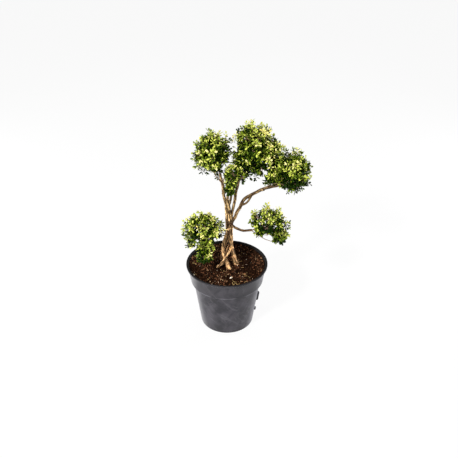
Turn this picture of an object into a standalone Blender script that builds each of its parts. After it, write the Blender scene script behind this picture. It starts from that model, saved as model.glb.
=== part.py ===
import math
import random

import bmesh
import bpy
from mathutils import Vector

# A clipped small-leaved holly bonsai in its round nursery pot. Metres, +Z up.
# The origin is the middle of the pot's flat underside, and -Y is the front.

# Clearance kept where one solid rests on another
GAP = 0.0003
SHARP_ANGLE = math.radians(50)

# Nursery pot
POT_HEIGHT = 0.197
RIM_RADIUS = 0.115
RIM_DEPTH = 0.005
BAND_TOP_RADIUS = 0.1105
BAND_FOOT_RADIUS = 0.1035
BAND_HEIGHT = 0.053
BAND_BOTTOM = POT_HEIGHT - BAND_HEIGHT
BODY_TOP_RADIUS = 0.0957
BODY_FOOT_RADIUS = 0.0765
FOOT_CHAMFER = 0.002
RIM_CHAMFER = 0.001
POT_WALL = 0.0018
POT_FLOOR = 0.003
POT_SIDES = 36
DRAIN_HOLES = 8
DRAIN_RADIUS = 0.006
DRAIN_CIRCLE = 0.055
DRAIN_SIDES = 8

# Moulded lugs on the pot's right side: height of the middle, length, how far they stand out
LUGS = {"long": (0.078, 0.030, 0.0065), "short": (0.031, 0.010, 0.0050)}
LUG_WIDTH = 0.006
LUG_SINK = 0.0008
LUG_SHOULDER = 0.75
LUG_END = 0.1
LUG_ROWS = 6

# Soil: a low dome that begins and flattens out at these shares of the pot's radius
SOIL_TOP = 0.183
SOIL_CROWN = 0.002
SOIL_DOME = (0.86, 0.55)

# Trunk: strands that twist round one another from spread feet to the fork
GROUND = SOIL_TOP + SOIL_CROWN + GAP
TRUNK_FOOT = Vector((0.0020, -0.0010, GROUND))
TRUNK_FORK = Vector((0.0070, 0.0000, 0.375))
STRAND_SIDES = 8
STRAND_STEPS = 16
FOOT_EASE = 4.0

# Bearings are degrees round the trunk from +X. reach is the distance from the
# trunk's axis at the foot, the waist and the tip, and radius runs foot to tip.
# belly swings a strand further out above its foot, and a swing over 1 turns it early.
STRANDS = {
    "front": dict(
        bearing=284, turn=-100, swing=2.6, belly=0.0125,
        reach=(0.0130, 0.0046, 0.0085), radius=(0.0043, 0.0044), top=1.0,
    ),
    "thin": dict(
        bearing=194, turn=264, swing=1.0, belly=0.0065,
        reach=(0.0285, 0.0078, 0.0065), radius=(0.0026, 0.0032), top=1.0,
    ),
    "right": dict(
        bearing=24, turn=-120, swing=1.0, belly=0.0030,
        reach=(0.0275, 0.0040, 0.0090), radius=(0.0048, 0.0044), top=1.0,
    ),
    "back": dict(
        bearing=118, turn=246, swing=1.0, belly=0.0040,
        reach=(0.0240, 0.0052, 0.0105), radius=(0.0046, 0.0040), top=1.0,
    ),
    "side": dict(
        bearing=146, turn=-148, swing=1.3, belly=0.0060,
        reach=(0.0180, 0.0035, 0.0140), radius=(0.0042, 0.0042), top=0.82,
    ),
}
BELLY_TOP = 0.62
FOOT_FLARE = 1.55
FLARE_EASE = 7.0
TIP_EASE = 7.0

# Boughs: root is a strand's tip or a collar on the trunk, end and arrive are
# where and which way the tip points, and pull is the curve's two handles. sway is
# how far a bough wanders sideways off its curve, and how many waves it makes.
BOUGHS = {
    "bough_left": dict(
        root="front", end=(-0.0170, 0.0000, 0.4725), arrive=(-0.37, -0.20, 1.30),
        pull=(0.006, 0.008), radius=(0.0046, 0.0036), sway=(0.0020, 2.0),
    ),
    "bough_fork": dict(
        root="right", end=(0.0045, -0.0130, 0.4240), arrive=(0.30, -0.05, 0.95),
        pull=(0.020, 0.015), radius=(0.0044, 0.0034), sway=(0.0006, 1.0),
    ),
    "bough_back": dict(
        root="thin", end=(0.0320, 0.0200, 0.4690), arrive=(0.77, 0.31, 0.40),
        pull=(0.006, 0.008), radius=(0.0034, 0.0026), sway=(0.0028, 1.4),
    ),
    "bough_top": dict(
        root="back", end=(0.0405, 0.0130, 0.4620), arrive=(0.70, 0.05, 0.94),
        pull=(0.058, 0.028), radius=(0.0042, 0.0034), sway=(0.0010, 2.2),
    ),
    "bough_right": dict(
        root="side", end=(0.1380, -0.0180, 0.4515), arrive=(1.43, -0.70, 0.69),
        pull=(0.048, 0.122), radius=(0.0047, 0.0042), sway=(0.0018, 2.5),
    ),
    "bough_low_right": dict(
        root="collar_low_right", end=(0.0655, -0.0260, 0.3195), arrive=(0.93, -0.20, 0.31),
        pull=(0.018, 0.018), radius=(0.0036, 0.0030), sway=(0.0008, 1.5),
    ),
    "bough_low_left": dict(
        root="collar_low_left", end=(-0.0215, -0.0185, 0.3120), arrive=(-0.94, -0.32, 0.10),
        pull=(0.004, 0.004), radius=(0.0026, 0.0022), sway=(0.0, 1.0),
    ),
}
BOUGH_SIDES = 8
BOUGH_STEP = 0.008

# The right bough carries a thinner twin that bows out below it and rejoins it, which
# leaves a narrow eye between them. Shares are of the bough's length.
TWIN = dict(bough="bough_right", leaves=0.33, rejoins=0.68, bow=0.0112, radius=0.0028, sides=6)
TWIN_SIDE = Vector((0.66, -0.25, -0.71))
TWIN_STEPS = 9
TWIN_EASE = 1.5

# Collars: short stubs fused to the trunk, from inside it out to a low bough
COLLARS = {
    "collar_low_right": dict(
        start=(0.0060, -0.0030, 0.3300), leave=(0.50, -0.80, 0.20),
        end=(0.0190, -0.0125, 0.3225), arrive=(0.78, -0.15, -0.60),
        pull=(0.006, 0.006), radius=(0.0040, 0.0037),
    ),
    "collar_low_left": dict(
        start=(0.0150, -0.0020, 0.3220), leave=(0.10, -1.00, -0.20),
        end=(-0.0075, -0.0130, 0.3110), arrive=(-0.98, 0.10, -0.05),
        pull=(0.012, 0.012), radius=(0.0030, 0.0027),
    ),
}
COLLAR_STEPS = 6

# Foliage masses. Each lobe is an ellipsoid: middle, half sizes, arms, twigs, and
# the share of the stem's length at which its arms spring.
# core is the share of each lobe that its dense inside fills, or 0 in an open mass.
MASSES = {
    "foliage_left": dict(
        bough="bough_left", seed=11, core=0.68, leaf=1.0,
        lobes=[((-0.0375, 0.0040, 0.5330), (0.048, 0.048, 0.054), 5, 18, 1.0)],
    ),
    "foliage_top": dict(
        bough="bough_top", seed=23, core=0.68, leaf=1.0,
        lobes=[
            ((0.0695, 0.0260, 0.5470), (0.054, 0.053, 0.057), 5, 16, 1.0),
            ((0.1020, 0.0220, 0.5130), (0.051, 0.048, 0.056), 4, 14, 0.5),
            ((0.0485, 0.0220, 0.5015), (0.036, 0.038, 0.038), 2, 6, 1.0),
        ],
    ),
    "foliage_right": dict(
        bough="bough_right", seed=31, core=0.68, leaf=1.0,
        lobes=[
            ((0.1680, -0.0220, 0.4900), (0.049, 0.050, 0.054), 5, 17, 1.0),
            ((0.1210, -0.0160, 0.4715), (0.027, 0.028, 0.022), 1, 6, 1.0),
        ],
    ),
    "foliage_fork": dict(
        bough="bough_fork", seed=47, core=0.0, leaf=0.75,
        lobes=[
            ((0.0200, -0.0200, 0.4785), (0.032, 0.028, 0.029), 4, 10, 1.0),
            ((0.0080, -0.0160, 0.4410), (0.018, 0.018, 0.020), 1, 4, 0.5),
        ],
    ),
    "foliage_low_right": dict(
        bough="bough_low_right", seed=53, core=0.0, leaf=1.06,
        lobes=[
            ((0.1090, -0.0340, 0.3490), (0.048, 0.046, 0.042), 5, 20, 1.0),
            ((0.1400, -0.0400, 0.3080), (0.024, 0.024, 0.023), 1, 5, 0.25),
        ],
    ),
    "foliage_low_left": dict(
        bough="bough_low_left", seed=67, core=0.0, leaf=1.06,
        lobes=[
            ((-0.0650, -0.0360, 0.3280), (0.054, 0.049, 0.047), 5, 20, 1.0),
            ((-0.0590, -0.0420, 0.2600), (0.028, 0.027, 0.036), 2, 7, 0.75),
        ],
    ),
}
STEM_SHARE = 0.55
STEM_STEPS = 4
STEM_SIDES = 6
STEM_PULL = (0.4, 0.3)
ARM_SHARE = 0.56
ARM_STEPS = 3
ARM_PULL = (0.3, 0.3)
ARM_RADIUS = (0.0026, 0.0022)
TWIG_RADIUS = (0.0010, 0.0009)
TWIG_SIDES = 3
TWIG_SHARES = (0.80, 0.74, 0.84, 0.60)
TWIG_STRAY = (0.95, 1.05)
TWIG_ROOTS = (0.1, 0.9)
TWIG_JITTER = 0.18
TWIG_CHECKS = (0.25, 0.5, 0.75, 1.0)
LEAVES_ON_TWIG = 6
LEAF_LENGTH = 0.0250
LEAF_WIDTH = 0.0150
LEAF_THICKNESS = 0.0010
LEAF_WIDEST = 0.60
LEAF_THICKEST = 0.40
LEAF_STEP = 0.0026
LEAF_SHRINK = 0.04
LEAF_ROOM = 0.0125
LEAF_SPREAD = (math.radians(38), math.radians(74))
CORE_LUMPS = 0.10
GOLDEN_ANGLE = math.radians(137.5)

# A mass keeps inside its own edge, nearer its own lobes than any other's,
# clear of every limb, and above the soil and the pot's rim
SPACE_EDGE = 1.08
SPACE_MARGIN = 0.030
LIMB_MARGIN = 0.0020
POT_MARGIN = 0.0025


def material(name, colour, roughness):
    made = bpy.data.materials.new(name)
    made.use_nodes = True
    shader = made.node_tree.nodes["Principled BSDF"]
    shader.inputs["Base Color"].default_value = (*colour, 1.0)
    shader.inputs["Roughness"].default_value = roughness
    return made


def mesh_object(name, points, faces, finish=None):
    mesh = bpy.data.meshes.new(name)
    mesh.from_pydata([tuple(p) for p in points], [], faces)
    mesh.update()
    obj = bpy.data.objects.new(name, mesh)
    bpy.context.scene.collection.objects.link(obj)
    if finish:
        mesh.materials.append(finish)
    return obj


def bezier(start, leave, end, arrive, pull, steps):
    """A curve from start to end that leaves and arrives along the given directions."""
    a, d = Vector(start), Vector(end)
    b = a + Vector(leave).normalized() * pull[0]
    c = d - Vector(arrive).normalized() * pull[1]
    points = []
    for i in range(steps + 1):
        t = i / steps
        u = 1 - t
        points.append(a * u**3 + b * 3 * u * u * t + c * 3 * u * t * t + d * t**3)
    return points


def tube_mesh(path, radii, sides, leave=None):
    """Points and faces of a closed tube along path, its caps square to it,
    or its first cap square to leave."""
    points, faces = [], []
    side = None
    for i, here in enumerate(path):
        ahead = path[min(i + 1, len(path) - 1)] - path[max(i - 1, 0)]
        if i == 0 and leave:
            ahead = leave
        ahead = ahead.normalized()
        if side is None:
            side = ahead.orthogonal()
        side = (side - ahead * side.dot(ahead)).normalized()
        across = ahead.cross(side)
        for k in range(sides):
            angle = math.tau * k / sides
            points.append(here + (side * math.cos(angle) + across * math.sin(angle)) * radii[i])
    for i in range(len(path) - 1):
        for k in range(sides):
            n = (k + 1) % sides
            low, high = i * sides, (i + 1) * sides
            faces.append((low + k, low + n, high + n, high + k))
    last = (len(path) - 1) * sides
    faces.append(tuple(reversed(range(sides))))
    faces.append(tuple(last + k for k in range(sides)))
    return points, faces


def taper(first, last, count):
    return [first + (last - first) * i / (count - 1) for i in range(count)]


def keep_main_body(obj):
    """Drops loose scraps and the skins of sealed hollows, so one closed body is left."""
    shape = bmesh.new()
    shape.from_mesh(obj.data)
    bmesh.ops.triangulate(shape, faces=shape.faces)
    islands, seen = [], set()
    for face in shape.faces:
        if face in seen:
            continue
        island, queue = [], [face]
        seen.add(face)
        while queue:
            this = queue.pop()
            island.append(this)
            for edge in this.edges:
                for other in edge.link_faces:
                    if other not in seen:
                        seen.add(other)
                        queue.append(other)
        volume = sum(f.verts[0].co.dot(f.verts[1].co.cross(f.verts[2].co)) for f in island) / 6
        islands.append((volume, island))
    islands.sort(key=lambda found: found[0])
    for _, island in islands[:-1]:
        bmesh.ops.delete(shape, geom=island, context="FACES")
    loose = [v for v in shape.verts if not v.link_faces]
    bmesh.ops.delete(shape, geom=loose, context="VERTS")
    shape.to_mesh(obj.data)
    shape.free()


def fuse(first, others):
    """Joins others to first by one Boolean union on a collection, then removes them."""
    pieces = bpy.data.collections.new(first.name + "_pieces")
    bpy.context.scene.collection.children.link(pieces)
    for other in others:
        bpy.context.scene.collection.objects.unlink(other)
        pieces.objects.link(other)
    union = first.modifiers.new("Union", "BOOLEAN")
    union.operation = "UNION"
    union.operand_type = "COLLECTION"
    union.collection = pieces
    union.solver = "MANIFOLD"
    with bpy.context.temp_override(object=first, active_object=first):
        bpy.ops.object.modifier_apply(modifier=union.name)
    for other in list(pieces.objects):
        bpy.data.meshes.remove(other.data)
    bpy.data.collections.remove(pieces)
    keep_main_body(first)
    return first


def cut(obj, cutter):
    """Takes cutter away from obj, then removes it."""
    difference = obj.modifiers.new("Cut", "BOOLEAN")
    difference.operation = "DIFFERENCE"
    difference.object = cutter
    difference.solver = "MANIFOLD"
    with bpy.context.temp_override(object=obj, active_object=obj):
        bpy.ops.object.modifier_apply(modifier=difference.name)
    bpy.data.meshes.remove(cutter.data)


def smoothed(obj):
    """Shades a round piece smooth but for its real edges."""
    obj.data.shade_smooth()
    obj.data.set_sharp_from_angle(angle=SHARP_ANGLE)
    return obj


def turned(name, profile, sides, finish):
    """A closed solid turned round +Z from (radius, height) points, axis to axis."""
    points, faces = [], []
    ring_start = []
    for radius, height in profile:
        ring_start.append(len(points))
        if radius == 0:
            points.append((0, 0, height))
            continue
        for k in range(sides):
            angle = math.tau * k / sides
            points.append((radius * math.cos(angle), radius * math.sin(angle), height))
    for i in range(len(profile) - 1):
        a, b = ring_start[i], ring_start[i + 1]
        for k in range(sides):
            n = (k + 1) % sides
            if profile[i][0] == 0:
                faces.append((a, b + n, b + k))
            elif profile[i + 1][0] == 0:
                faces.append((a + k, a + n, b))
            else:
                faces.append((a + k, a + n, b + n, b + k))
    return mesh_object(name, points, faces, finish)


def body_radius(height):
    """The outside radius of the pot's body below its band."""
    return BODY_FOOT_RADIUS + (BODY_TOP_RADIUS - BODY_FOOT_RADIUS) * height / BAND_BOTTOM


def inner_radius(height):
    """The pot's inside radius at a height above its underside."""
    if height <= BAND_BOTTOM:
        return body_radius(height) - POT_WALL
    share = (height - BAND_BOTTOM) / BAND_HEIGHT
    return BAND_FOOT_RADIUS + (BAND_TOP_RADIUS - BAND_FOOT_RADIUS) * share - POT_WALL


def make_pot(finish):
    profile = [
        (0, 0),
        (BODY_FOOT_RADIUS - FOOT_CHAMFER, 0),
        (BODY_FOOT_RADIUS, FOOT_CHAMFER),
        (BODY_TOP_RADIUS, BAND_BOTTOM),
        (BAND_FOOT_RADIUS - RIM_CHAMFER, BAND_BOTTOM),
        (BAND_FOOT_RADIUS, BAND_BOTTOM + RIM_CHAMFER),
        (BAND_TOP_RADIUS, POT_HEIGHT - RIM_DEPTH - RIM_CHAMFER),
        (RIM_RADIUS - RIM_CHAMFER, POT_HEIGHT - RIM_DEPTH),
        (RIM_RADIUS, POT_HEIGHT - RIM_DEPTH + RIM_CHAMFER),
        (RIM_RADIUS, POT_HEIGHT - RIM_CHAMFER),
        (RIM_RADIUS - RIM_CHAMFER, POT_HEIGHT),
        (inner_radius(POT_HEIGHT), POT_HEIGHT),
        (inner_radius(BAND_BOTTOM + POT_WALL), BAND_BOTTOM + POT_WALL),
        (inner_radius(BAND_BOTTOM) - POT_WALL / 2, BAND_BOTTOM - POT_WALL / 2),
        (inner_radius(POT_FLOOR), POT_FLOOR),
        (0, POT_FLOOR),
    ]
    pot = turned("pot", profile, POT_SIDES, finish)
    lugs = [make_lug(name, *size) for name, size in LUGS.items()]
    fuse(pot, lugs)
    low, high = -POT_FLOOR, POT_FLOOR * 2
    bore = [(0, low), (DRAIN_RADIUS, low), (DRAIN_RADIUS, high), (0, high)]
    for k in range(DRAIN_HOLES):
        angle = math.tau * (k + 0.5) / DRAIN_HOLES
        cutter = turned("drain_cutter", bore, DRAIN_SIDES, None)
        shift = Vector((math.cos(angle), math.sin(angle), 0)) * DRAIN_CIRCLE
        for vertex in cutter.data.vertices:
            vertex.co += shift
        cut(pot, cutter)
    return smoothed(pot)


def make_lug(name, middle, length, proud):
    """A rounded rib that leans with the pot's side, on +X, its back sunk into the wall."""
    points, faces = [], []
    half = LUG_WIDTH / 2
    for i in range(LUG_ROWS + 1):
        share = i / LUG_ROWS
        height = middle + length * (share - 0.5)
        wall = body_radius(height)
        bulge = proud * math.sqrt(LUG_END + (1 - LUG_END) * (1 - (2 * share - 1) ** 4))
        back = wall - POT_WALL + LUG_SINK
        points += [
            (back, -half, height),
            (wall + bulge * LUG_SHOULDER, -half, height),
            (wall + bulge, 0, height),
            (wall + bulge * LUG_SHOULDER, half, height),
            (back, half, height),
        ]
    for i in range(LUG_ROWS):
        low, high = i * 5, i * 5 + 5
        for k in range(5):
            n = (k + 1) % 5
            faces.append((low + k, low + n, high + n, high + k))
    faces.append((4, 3, 2, 1, 0))
    faces.append(tuple(LUG_ROWS * 5 + k for k in range(5)))
    return mesh_object("lug_" + name, points, faces)


def make_soil(finish):
    top = inner_radius(SOIL_TOP)
    profile = [
        (0, POT_FLOOR + GAP),
        (inner_radius(POT_FLOOR) - GAP * 2, POT_FLOOR + GAP),
        (inner_radius(BAND_BOTTOM) - POT_WALL / 2 - GAP * 2, BAND_BOTTOM - POT_WALL / 2),
        (inner_radius(BAND_BOTTOM + POT_WALL) - GAP * 2, BAND_BOTTOM + POT_WALL + GAP),
        (top - GAP * 2, SOIL_TOP - SOIL_CROWN),
        (top * SOIL_DOME[0], SOIL_TOP),
        (top * SOIL_DOME[1], SOIL_TOP + SOIL_CROWN),
        (0, SOIL_TOP + SOIL_CROWN),
    ]
    return smoothed(turned("soil", profile, POT_SIDES, finish))


def strand_point(strand, share):
    """A strand's middle at a share of its height, and its radius there."""
    spec = STRANDS[strand]
    foot, waist, tip = spec["reach"]
    height = share * spec["top"]
    axis = TRUNK_FOOT.lerp(TRUNK_FORK, height)
    reach = waist + (foot - waist) * (1 - share) ** FOOT_EASE + (tip - waist) * share**TIP_EASE
    if share < BELLY_TOP:
        reach += spec["belly"] * math.sin(math.pi * share / BELLY_TOP) ** 2
    bearing = math.radians(spec["bearing"] + spec["turn"] * (1 - (1 - share) ** spec["swing"]))
    radius = spec["radius"][0] + (spec["radius"][1] - spec["radius"][0]) * share
    radius *= 1 + (FOOT_FLARE - 1) * (1 - share) ** FLARE_EASE
    return axis + Vector((math.cos(bearing), math.sin(bearing), 0)) * reach, radius


def strand_path(strand):
    found = [strand_point(strand, i / STRAND_STEPS) for i in range(STRAND_STEPS + 1)]
    return [p for p, _ in found], [r for _, r in found]


def collar_path(collar):
    spec = COLLARS[collar]
    ends = (spec["start"], spec["leave"], spec["end"], spec["arrive"])
    return bezier(*ends, spec["pull"], COLLAR_STEPS)


def root_of(bough):
    """Where a bough starts and which way: a gap beyond its strand's or collar's tip."""
    root = BOUGHS[bough]["root"]
    path = strand_path(root)[0] if root in STRANDS else collar_path(root)
    ahead = (path[-1] - path[-2]).normalized()
    return path[-1] + ahead * GAP, ahead


def bough_path(bough):
    spec = BOUGHS[bough]
    start, leave = root_of(bough)
    length = (Vector(spec["end"]) - start).length
    steps = max(3, round(length / BOUGH_STEP))
    path = bezier(start, leave, spec["end"], spec["arrive"], spec["pull"], steps)
    far, waves = spec["sway"]
    side = (Vector(spec["end"]) - start).orthogonal().normalized()
    for i in range(1, steps):
        share = i / steps
        path[i] += side * far * math.sin(math.tau * waves * share) * math.sin(math.pi * share)
    return path, taper(*spec["radius"], len(path))


def twin_path():
    path = bough_path(TWIN["bough"])[0]
    points = []
    for i in range(TWIN_STEPS + 1):
        bowed = i / TWIN_STEPS
        along = (TWIN["leaves"] + (TWIN["rejoins"] - TWIN["leaves"]) * bowed) * (len(path) - 1)
        here = path[int(along)].lerp(path[int(along) + 1], along % 1)
        points.append(here + TWIN_SIDE * TWIN["bow"] * math.sin(math.pi * bowed) ** TWIN_EASE)
    return points


def make_trunk(finish):
    tubes = []
    for strand in STRANDS:
        path, radii = strand_path(strand)
        rings = tube_mesh(path, radii, STRAND_SIDES, Vector((0, 0, 1)))
        tubes.append(mesh_object("strand_" + strand, *rings, finish))
    for collar, spec in COLLARS.items():
        path = collar_path(collar)
        rings = tube_mesh(path, taper(*spec["radius"], len(path)), STRAND_SIDES)
        tubes.append(mesh_object(collar, *rings))
    trunk = tubes[0]
    trunk.name = "trunk"
    return smoothed(fuse(trunk, tubes[1:]))


def make_bough(bough, finish):
    path, radii = bough_path(bough)
    made = mesh_object(bough, *tube_mesh(path, radii, BOUGH_SIDES, root_of(bough)[1]), finish)
    if bough == TWIN["bough"]:
        twin = twin_path()
        rings = tube_mesh(twin, [TWIN["radius"]] * len(twin), TWIN["sides"])
        fuse(made, [mesh_object("twin", *rings)])
    return smoothed(made)


def limb_segments():
    """Every trunk strand, collar and bough as short lengths: two ends and a radius."""
    segments = []
    for strand in STRANDS:
        path, radii = strand_path(strand)
        segments += [(path[i], path[i + 1], radii[i]) for i in range(len(path) - 1)]
    for collar, spec in COLLARS.items():
        path = collar_path(collar)
        segments += [(path[i], path[i + 1], spec["radius"][0]) for i in range(len(path) - 1)]
    for bough in BOUGHS:
        path, radii = bough_path(bough)
        segments += [(path[i], path[i + 1], radii[i]) for i in range(len(path) - 1)]
    twin = twin_path()
    segments += [(twin[i], twin[i + 1], TWIN["radius"]) for i in range(len(twin) - 1)]
    return segments


def limb_clearance(point, segments):
    """How far a point is from the nearest limb's bark."""
    nearest = math.inf
    for a, b, radius in segments:
        along = b - a
        share = max(0.0, min(1.0, (point - a).dot(along) / along.length_squared))
        nearest = min(nearest, (point - a - along * share).length - radius)
    return nearest


def depth_in(point, mass):
    """How far out of a mass's lobes a point is: 0 at a lobe's middle and 1 on its skin."""
    nearest = math.inf
    for middle, half, _, _, _ in MASSES[mass]["lobes"]:
        offset = [(point[i] - middle[i]) / half[i] for i in range(3)]
        nearest = min(nearest, math.sqrt(sum(v * v for v in offset)))
    return nearest


def in_own_space(point, mass):
    own = depth_in(point, mass)
    if own > SPACE_EDGE:
        return False
    if any(depth_in(point, other) < own + SPACE_MARGIN for other in MASSES if other != mass):
        return False
    beside_pot = math.hypot(point.x, point.y) > inner_radius(POT_HEIGHT) - POT_MARGIN
    floor = POT_HEIGHT if beside_pot else SOIL_TOP + SOIL_CROWN
    return point.z > floor + POT_MARGIN


def free_there(points, radius, mass, segments):
    margin = LIMB_MARGIN + radius
    return all(in_own_space(p, mass) and limb_clearance(p, segments) > margin for p in points)


def even_directions(count, spin):
    """Directions spread evenly over a ball by the golden angle, from the top down."""
    found = []
    for k in range(count):
        height = 1 - 2 * (k + 0.5) / count
        flat = math.sqrt(1 - height * height)
        angle = spin + GOLDEN_ANGLE * k
        found.append(Vector((flat * math.cos(angle), flat * math.sin(angle), height)))
    return found


def on_lobe(lobe, direction, share):
    middle, half = lobe[0], lobe[1]
    return Vector([middle[i] + direction[i] * half[i] * share for i in range(3)])


def tip_of(bough):
    """Where a bough ends, and which way it points there."""
    path = bough_path(bough)[0]
    return path[-1], (path[-1] - path[-2]).normalized()


def stem_path(mass):
    """From a gap beyond the bough's tip to the hub that the arms spring from."""
    spec = MASSES[mass]
    tip, ahead = tip_of(spec["bough"])
    start = tip + ahead * GAP
    middle = Vector(spec["lobes"][0][0])
    hub = start.lerp(middle, STEM_SHARE)
    pull = [(hub - start).length * share for share in STEM_PULL]
    return bezier(start, ahead, hub, middle - start, pull, STEM_STEPS)


def grow(mass):
    """The arms of a mass by the seeded rule, and its twigs as arm number, root, end
    and spin: each twig springs from the arm that points most nearly its own way."""
    rule = random.Random(MASSES[mass]["seed"])
    stem = stem_path(mass)
    arms, twigs = [], []
    for lobe in MASSES[mass]["lobes"]:
        foot = stem[round(lobe[4] * STEM_STEPS)]
        spin = rule.uniform(0, math.tau)
        arm_directions = even_directions(lobe[2], spin)
        first = len(arms)
        for direction in arm_directions:
            tip = on_lobe(lobe, direction, ARM_SHARE)
            pull = [(tip - foot).length * share for share in ARM_PULL]
            leave = (Vector(lobe[0]) - foot).normalized() + direction
            arms.append(bezier(foot, leave, tip, direction, pull, ARM_STEPS))
        for k, direction in enumerate(even_directions(lobe[3], spin)):
            stray = Vector([rule.uniform(-1, 1) for _ in range(3)]) * TWIG_JITTER
            outward = (direction + stray).normalized()
            nearest = first + max(range(lobe[2]), key=lambda a: arm_directions[a].dot(outward))
            root = arms[nearest][-1].lerp(arms[nearest][-2], rule.uniform(*TWIG_ROOTS))
            share = TWIG_SHARES[k % len(TWIG_SHARES)] * rule.uniform(*TWIG_STRAY)
            twigs.append((nearest, root, on_lobe(lobe, outward, share), rule.uniform(0, math.tau)))
    return arms, twigs


LEAF_FACES = [(0, 1, 4), (1, 2, 4), (2, 3, 4), (3, 0, 4), (1, 0, 5), (2, 1, 5), (3, 2, 5), (0, 3, 5)]


def leaf_points(root, direction, facing, size):
    """A leaf's root, one side, tip and other side, then its thickest above and below."""
    side = direction.cross(facing).normalized()
    facing = side.cross(direction)
    widest = root + direction * LEAF_LENGTH * LEAF_WIDEST * size
    thickest = root + direction * LEAF_LENGTH * LEAF_THICKEST * size
    half = side * LEAF_WIDTH / 2 * size
    thick = facing * LEAF_THICKNESS / 2
    tip = root + direction * LEAF_LENGTH * size
    return [root, widest + half, tip, widest - half, thickest + thick, thickest - thick]


def leaves_of(root, end, spin, size):
    """Leaves that spiral round a twig's end, spreading more the lower they sit."""
    along = (end - root).normalized()
    side = along.orthogonal().normalized()
    across = along.cross(side)
    leaves = []
    for k in range(LEAVES_ON_TWIG):
        angle = spin + GOLDEN_ANGLE * k
        spread = LEAF_SPREAD[0] + (LEAF_SPREAD[1] - LEAF_SPREAD[0]) * k / (LEAVES_ON_TWIG - 1)
        outward = side * math.cos(angle) + across * math.sin(angle)
        direction = along * math.cos(spread) + outward * math.sin(spread)
        facing = along * math.sin(spread) - outward * math.cos(spread)
        foot = end - along * (LEAF_STEP * k + TWIG_RADIUS[1])
        leaves.append(leaf_points(foot, direction, facing, size * (1 - LEAF_SHRINK * k)))
    return leaves


def core_of(mass, index):
    """The dense inside of a lobe: a lumpy ball, smaller than the lobe."""
    spec = MASSES[mass]
    rule = random.Random(spec["seed"] + index)
    shape = bmesh.new()
    bmesh.ops.create_icosphere(shape, subdivisions=2, radius=1.0)
    for vertex in shape.verts:
        share = spec["core"] * (1 + rule.uniform(-CORE_LUMPS, CORE_LUMPS))
        vertex.co = on_lobe(spec["lobes"][index], vertex.co.normalized(), share)
    mesh = bpy.data.meshes.new(f"{mass}_core_{index}")
    shape.to_mesh(mesh)
    shape.free()
    obj = bpy.data.objects.new(mesh.name, mesh)
    bpy.context.scene.collection.objects.link(obj)
    return obj


def make_mass(mass, finish, segments):
    """One node: the stem, its arms, the twigs and leaves that are free, and any core."""
    stem = stem_path(mass)
    bough = MASSES[mass]["bough"]
    radii = taper(BOUGHS[bough]["radius"][1], ARM_RADIUS[0], len(stem))
    body = mesh_object(mass, *tube_mesh(stem, radii, STEM_SIDES, tip_of(bough)[1]), finish)
    arms, twigs = grow(mass)
    size = MASSES[mass]["leaf"]
    pieces, settled = [], []
    free_arms = [free_there(arm[1:], ARM_RADIUS[1], mass, segments) for arm in arms]
    for arm, free in zip(arms, free_arms):
        if free:
            rings = tube_mesh(arm, taper(*ARM_RADIUS, len(arm)), TWIG_SIDES)
            pieces.append(mesh_object("arm", *rings))
    for arm, root, end, spin in twigs:
        samples = [root.lerp(end, share) for share in TWIG_CHECKS]
        if not free_arms[arm] or not free_there(samples, TWIG_RADIUS[0], mass, segments):
            continue
        pieces.append(mesh_object("twig", *tube_mesh([root, end], TWIG_RADIUS, TWIG_SIDES)))
        for corners in leaves_of(root, end, spin, size):
            middle = (corners[0] + corners[2]) / 2
            crowded = any((middle - other).length < LEAF_ROOM * size for other in settled)
            if not crowded and free_there(corners + [middle], 0, mass, segments):
                settled.append(middle)
                pieces.append(mesh_object("leaf", corners, LEAF_FACES))
    if MASSES[mass]["core"]:
        pieces += [core_of(mass, index) for index in range(len(MASSES[mass]["lobes"]))]
    fuse(body, pieces)
    return body


def clear_scene():
    for obj in list(bpy.data.objects):
        bpy.data.objects.remove(obj)


def main():
    clear_scene()
    plastic = material("pot_plastic", (0.070, 0.068, 0.078), 0.45)
    compost = material("compost", (0.060, 0.028, 0.016), 0.95)
    bark = material("bark", (0.42, 0.28, 0.16), 0.85)
    leaf = material("leaves", (0.20, 0.30, 0.05), 0.45)
    make_pot(plastic)
    make_soil(compost)
    make_trunk(bark)
    for bough in BOUGHS:
        make_bough(bough, bark)
    segments = limb_segments()
    for mass in MASSES:
        make_mass(mass, leaf, segments)


main()
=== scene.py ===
import math
import random

import bpy
import numpy as np
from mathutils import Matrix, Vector, noise
from mathutils.bvhtree import BVHTree


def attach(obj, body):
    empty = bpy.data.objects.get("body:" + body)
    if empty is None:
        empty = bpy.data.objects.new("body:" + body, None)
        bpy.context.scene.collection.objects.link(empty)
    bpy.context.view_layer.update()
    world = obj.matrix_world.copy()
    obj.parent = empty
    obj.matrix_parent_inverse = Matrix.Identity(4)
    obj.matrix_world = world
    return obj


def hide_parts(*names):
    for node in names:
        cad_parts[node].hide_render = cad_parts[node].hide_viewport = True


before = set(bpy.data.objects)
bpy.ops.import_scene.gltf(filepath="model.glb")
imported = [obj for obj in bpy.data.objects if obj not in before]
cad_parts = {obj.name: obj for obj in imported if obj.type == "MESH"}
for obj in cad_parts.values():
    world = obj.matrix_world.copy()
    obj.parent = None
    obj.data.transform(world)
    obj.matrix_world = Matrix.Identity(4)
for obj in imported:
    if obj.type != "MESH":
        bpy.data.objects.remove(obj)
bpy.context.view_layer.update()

# A clipped holly bonsai in a nursery pot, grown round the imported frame. Metres, +Z up, -Y the front.
sceneNow = bpy.context.scene
print("frame loaded:", len(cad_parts), "nodes")


# small tools

def deselectAll():
    if bpy.context.object and bpy.context.object.mode != "OBJECT":
        bpy.ops.object.mode_set(mode="OBJECT")
    bpy.ops.object.select_all(action="DESELECT")


def pick(piece):
    deselectAll()
    piece.hide_set(False)
    piece.select_set(True)
    bpy.context.view_layer.objects.active = piece


def justAdded(name):
    piece = bpy.context.object
    piece.name = piece.data.name = name
    return piece


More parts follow.
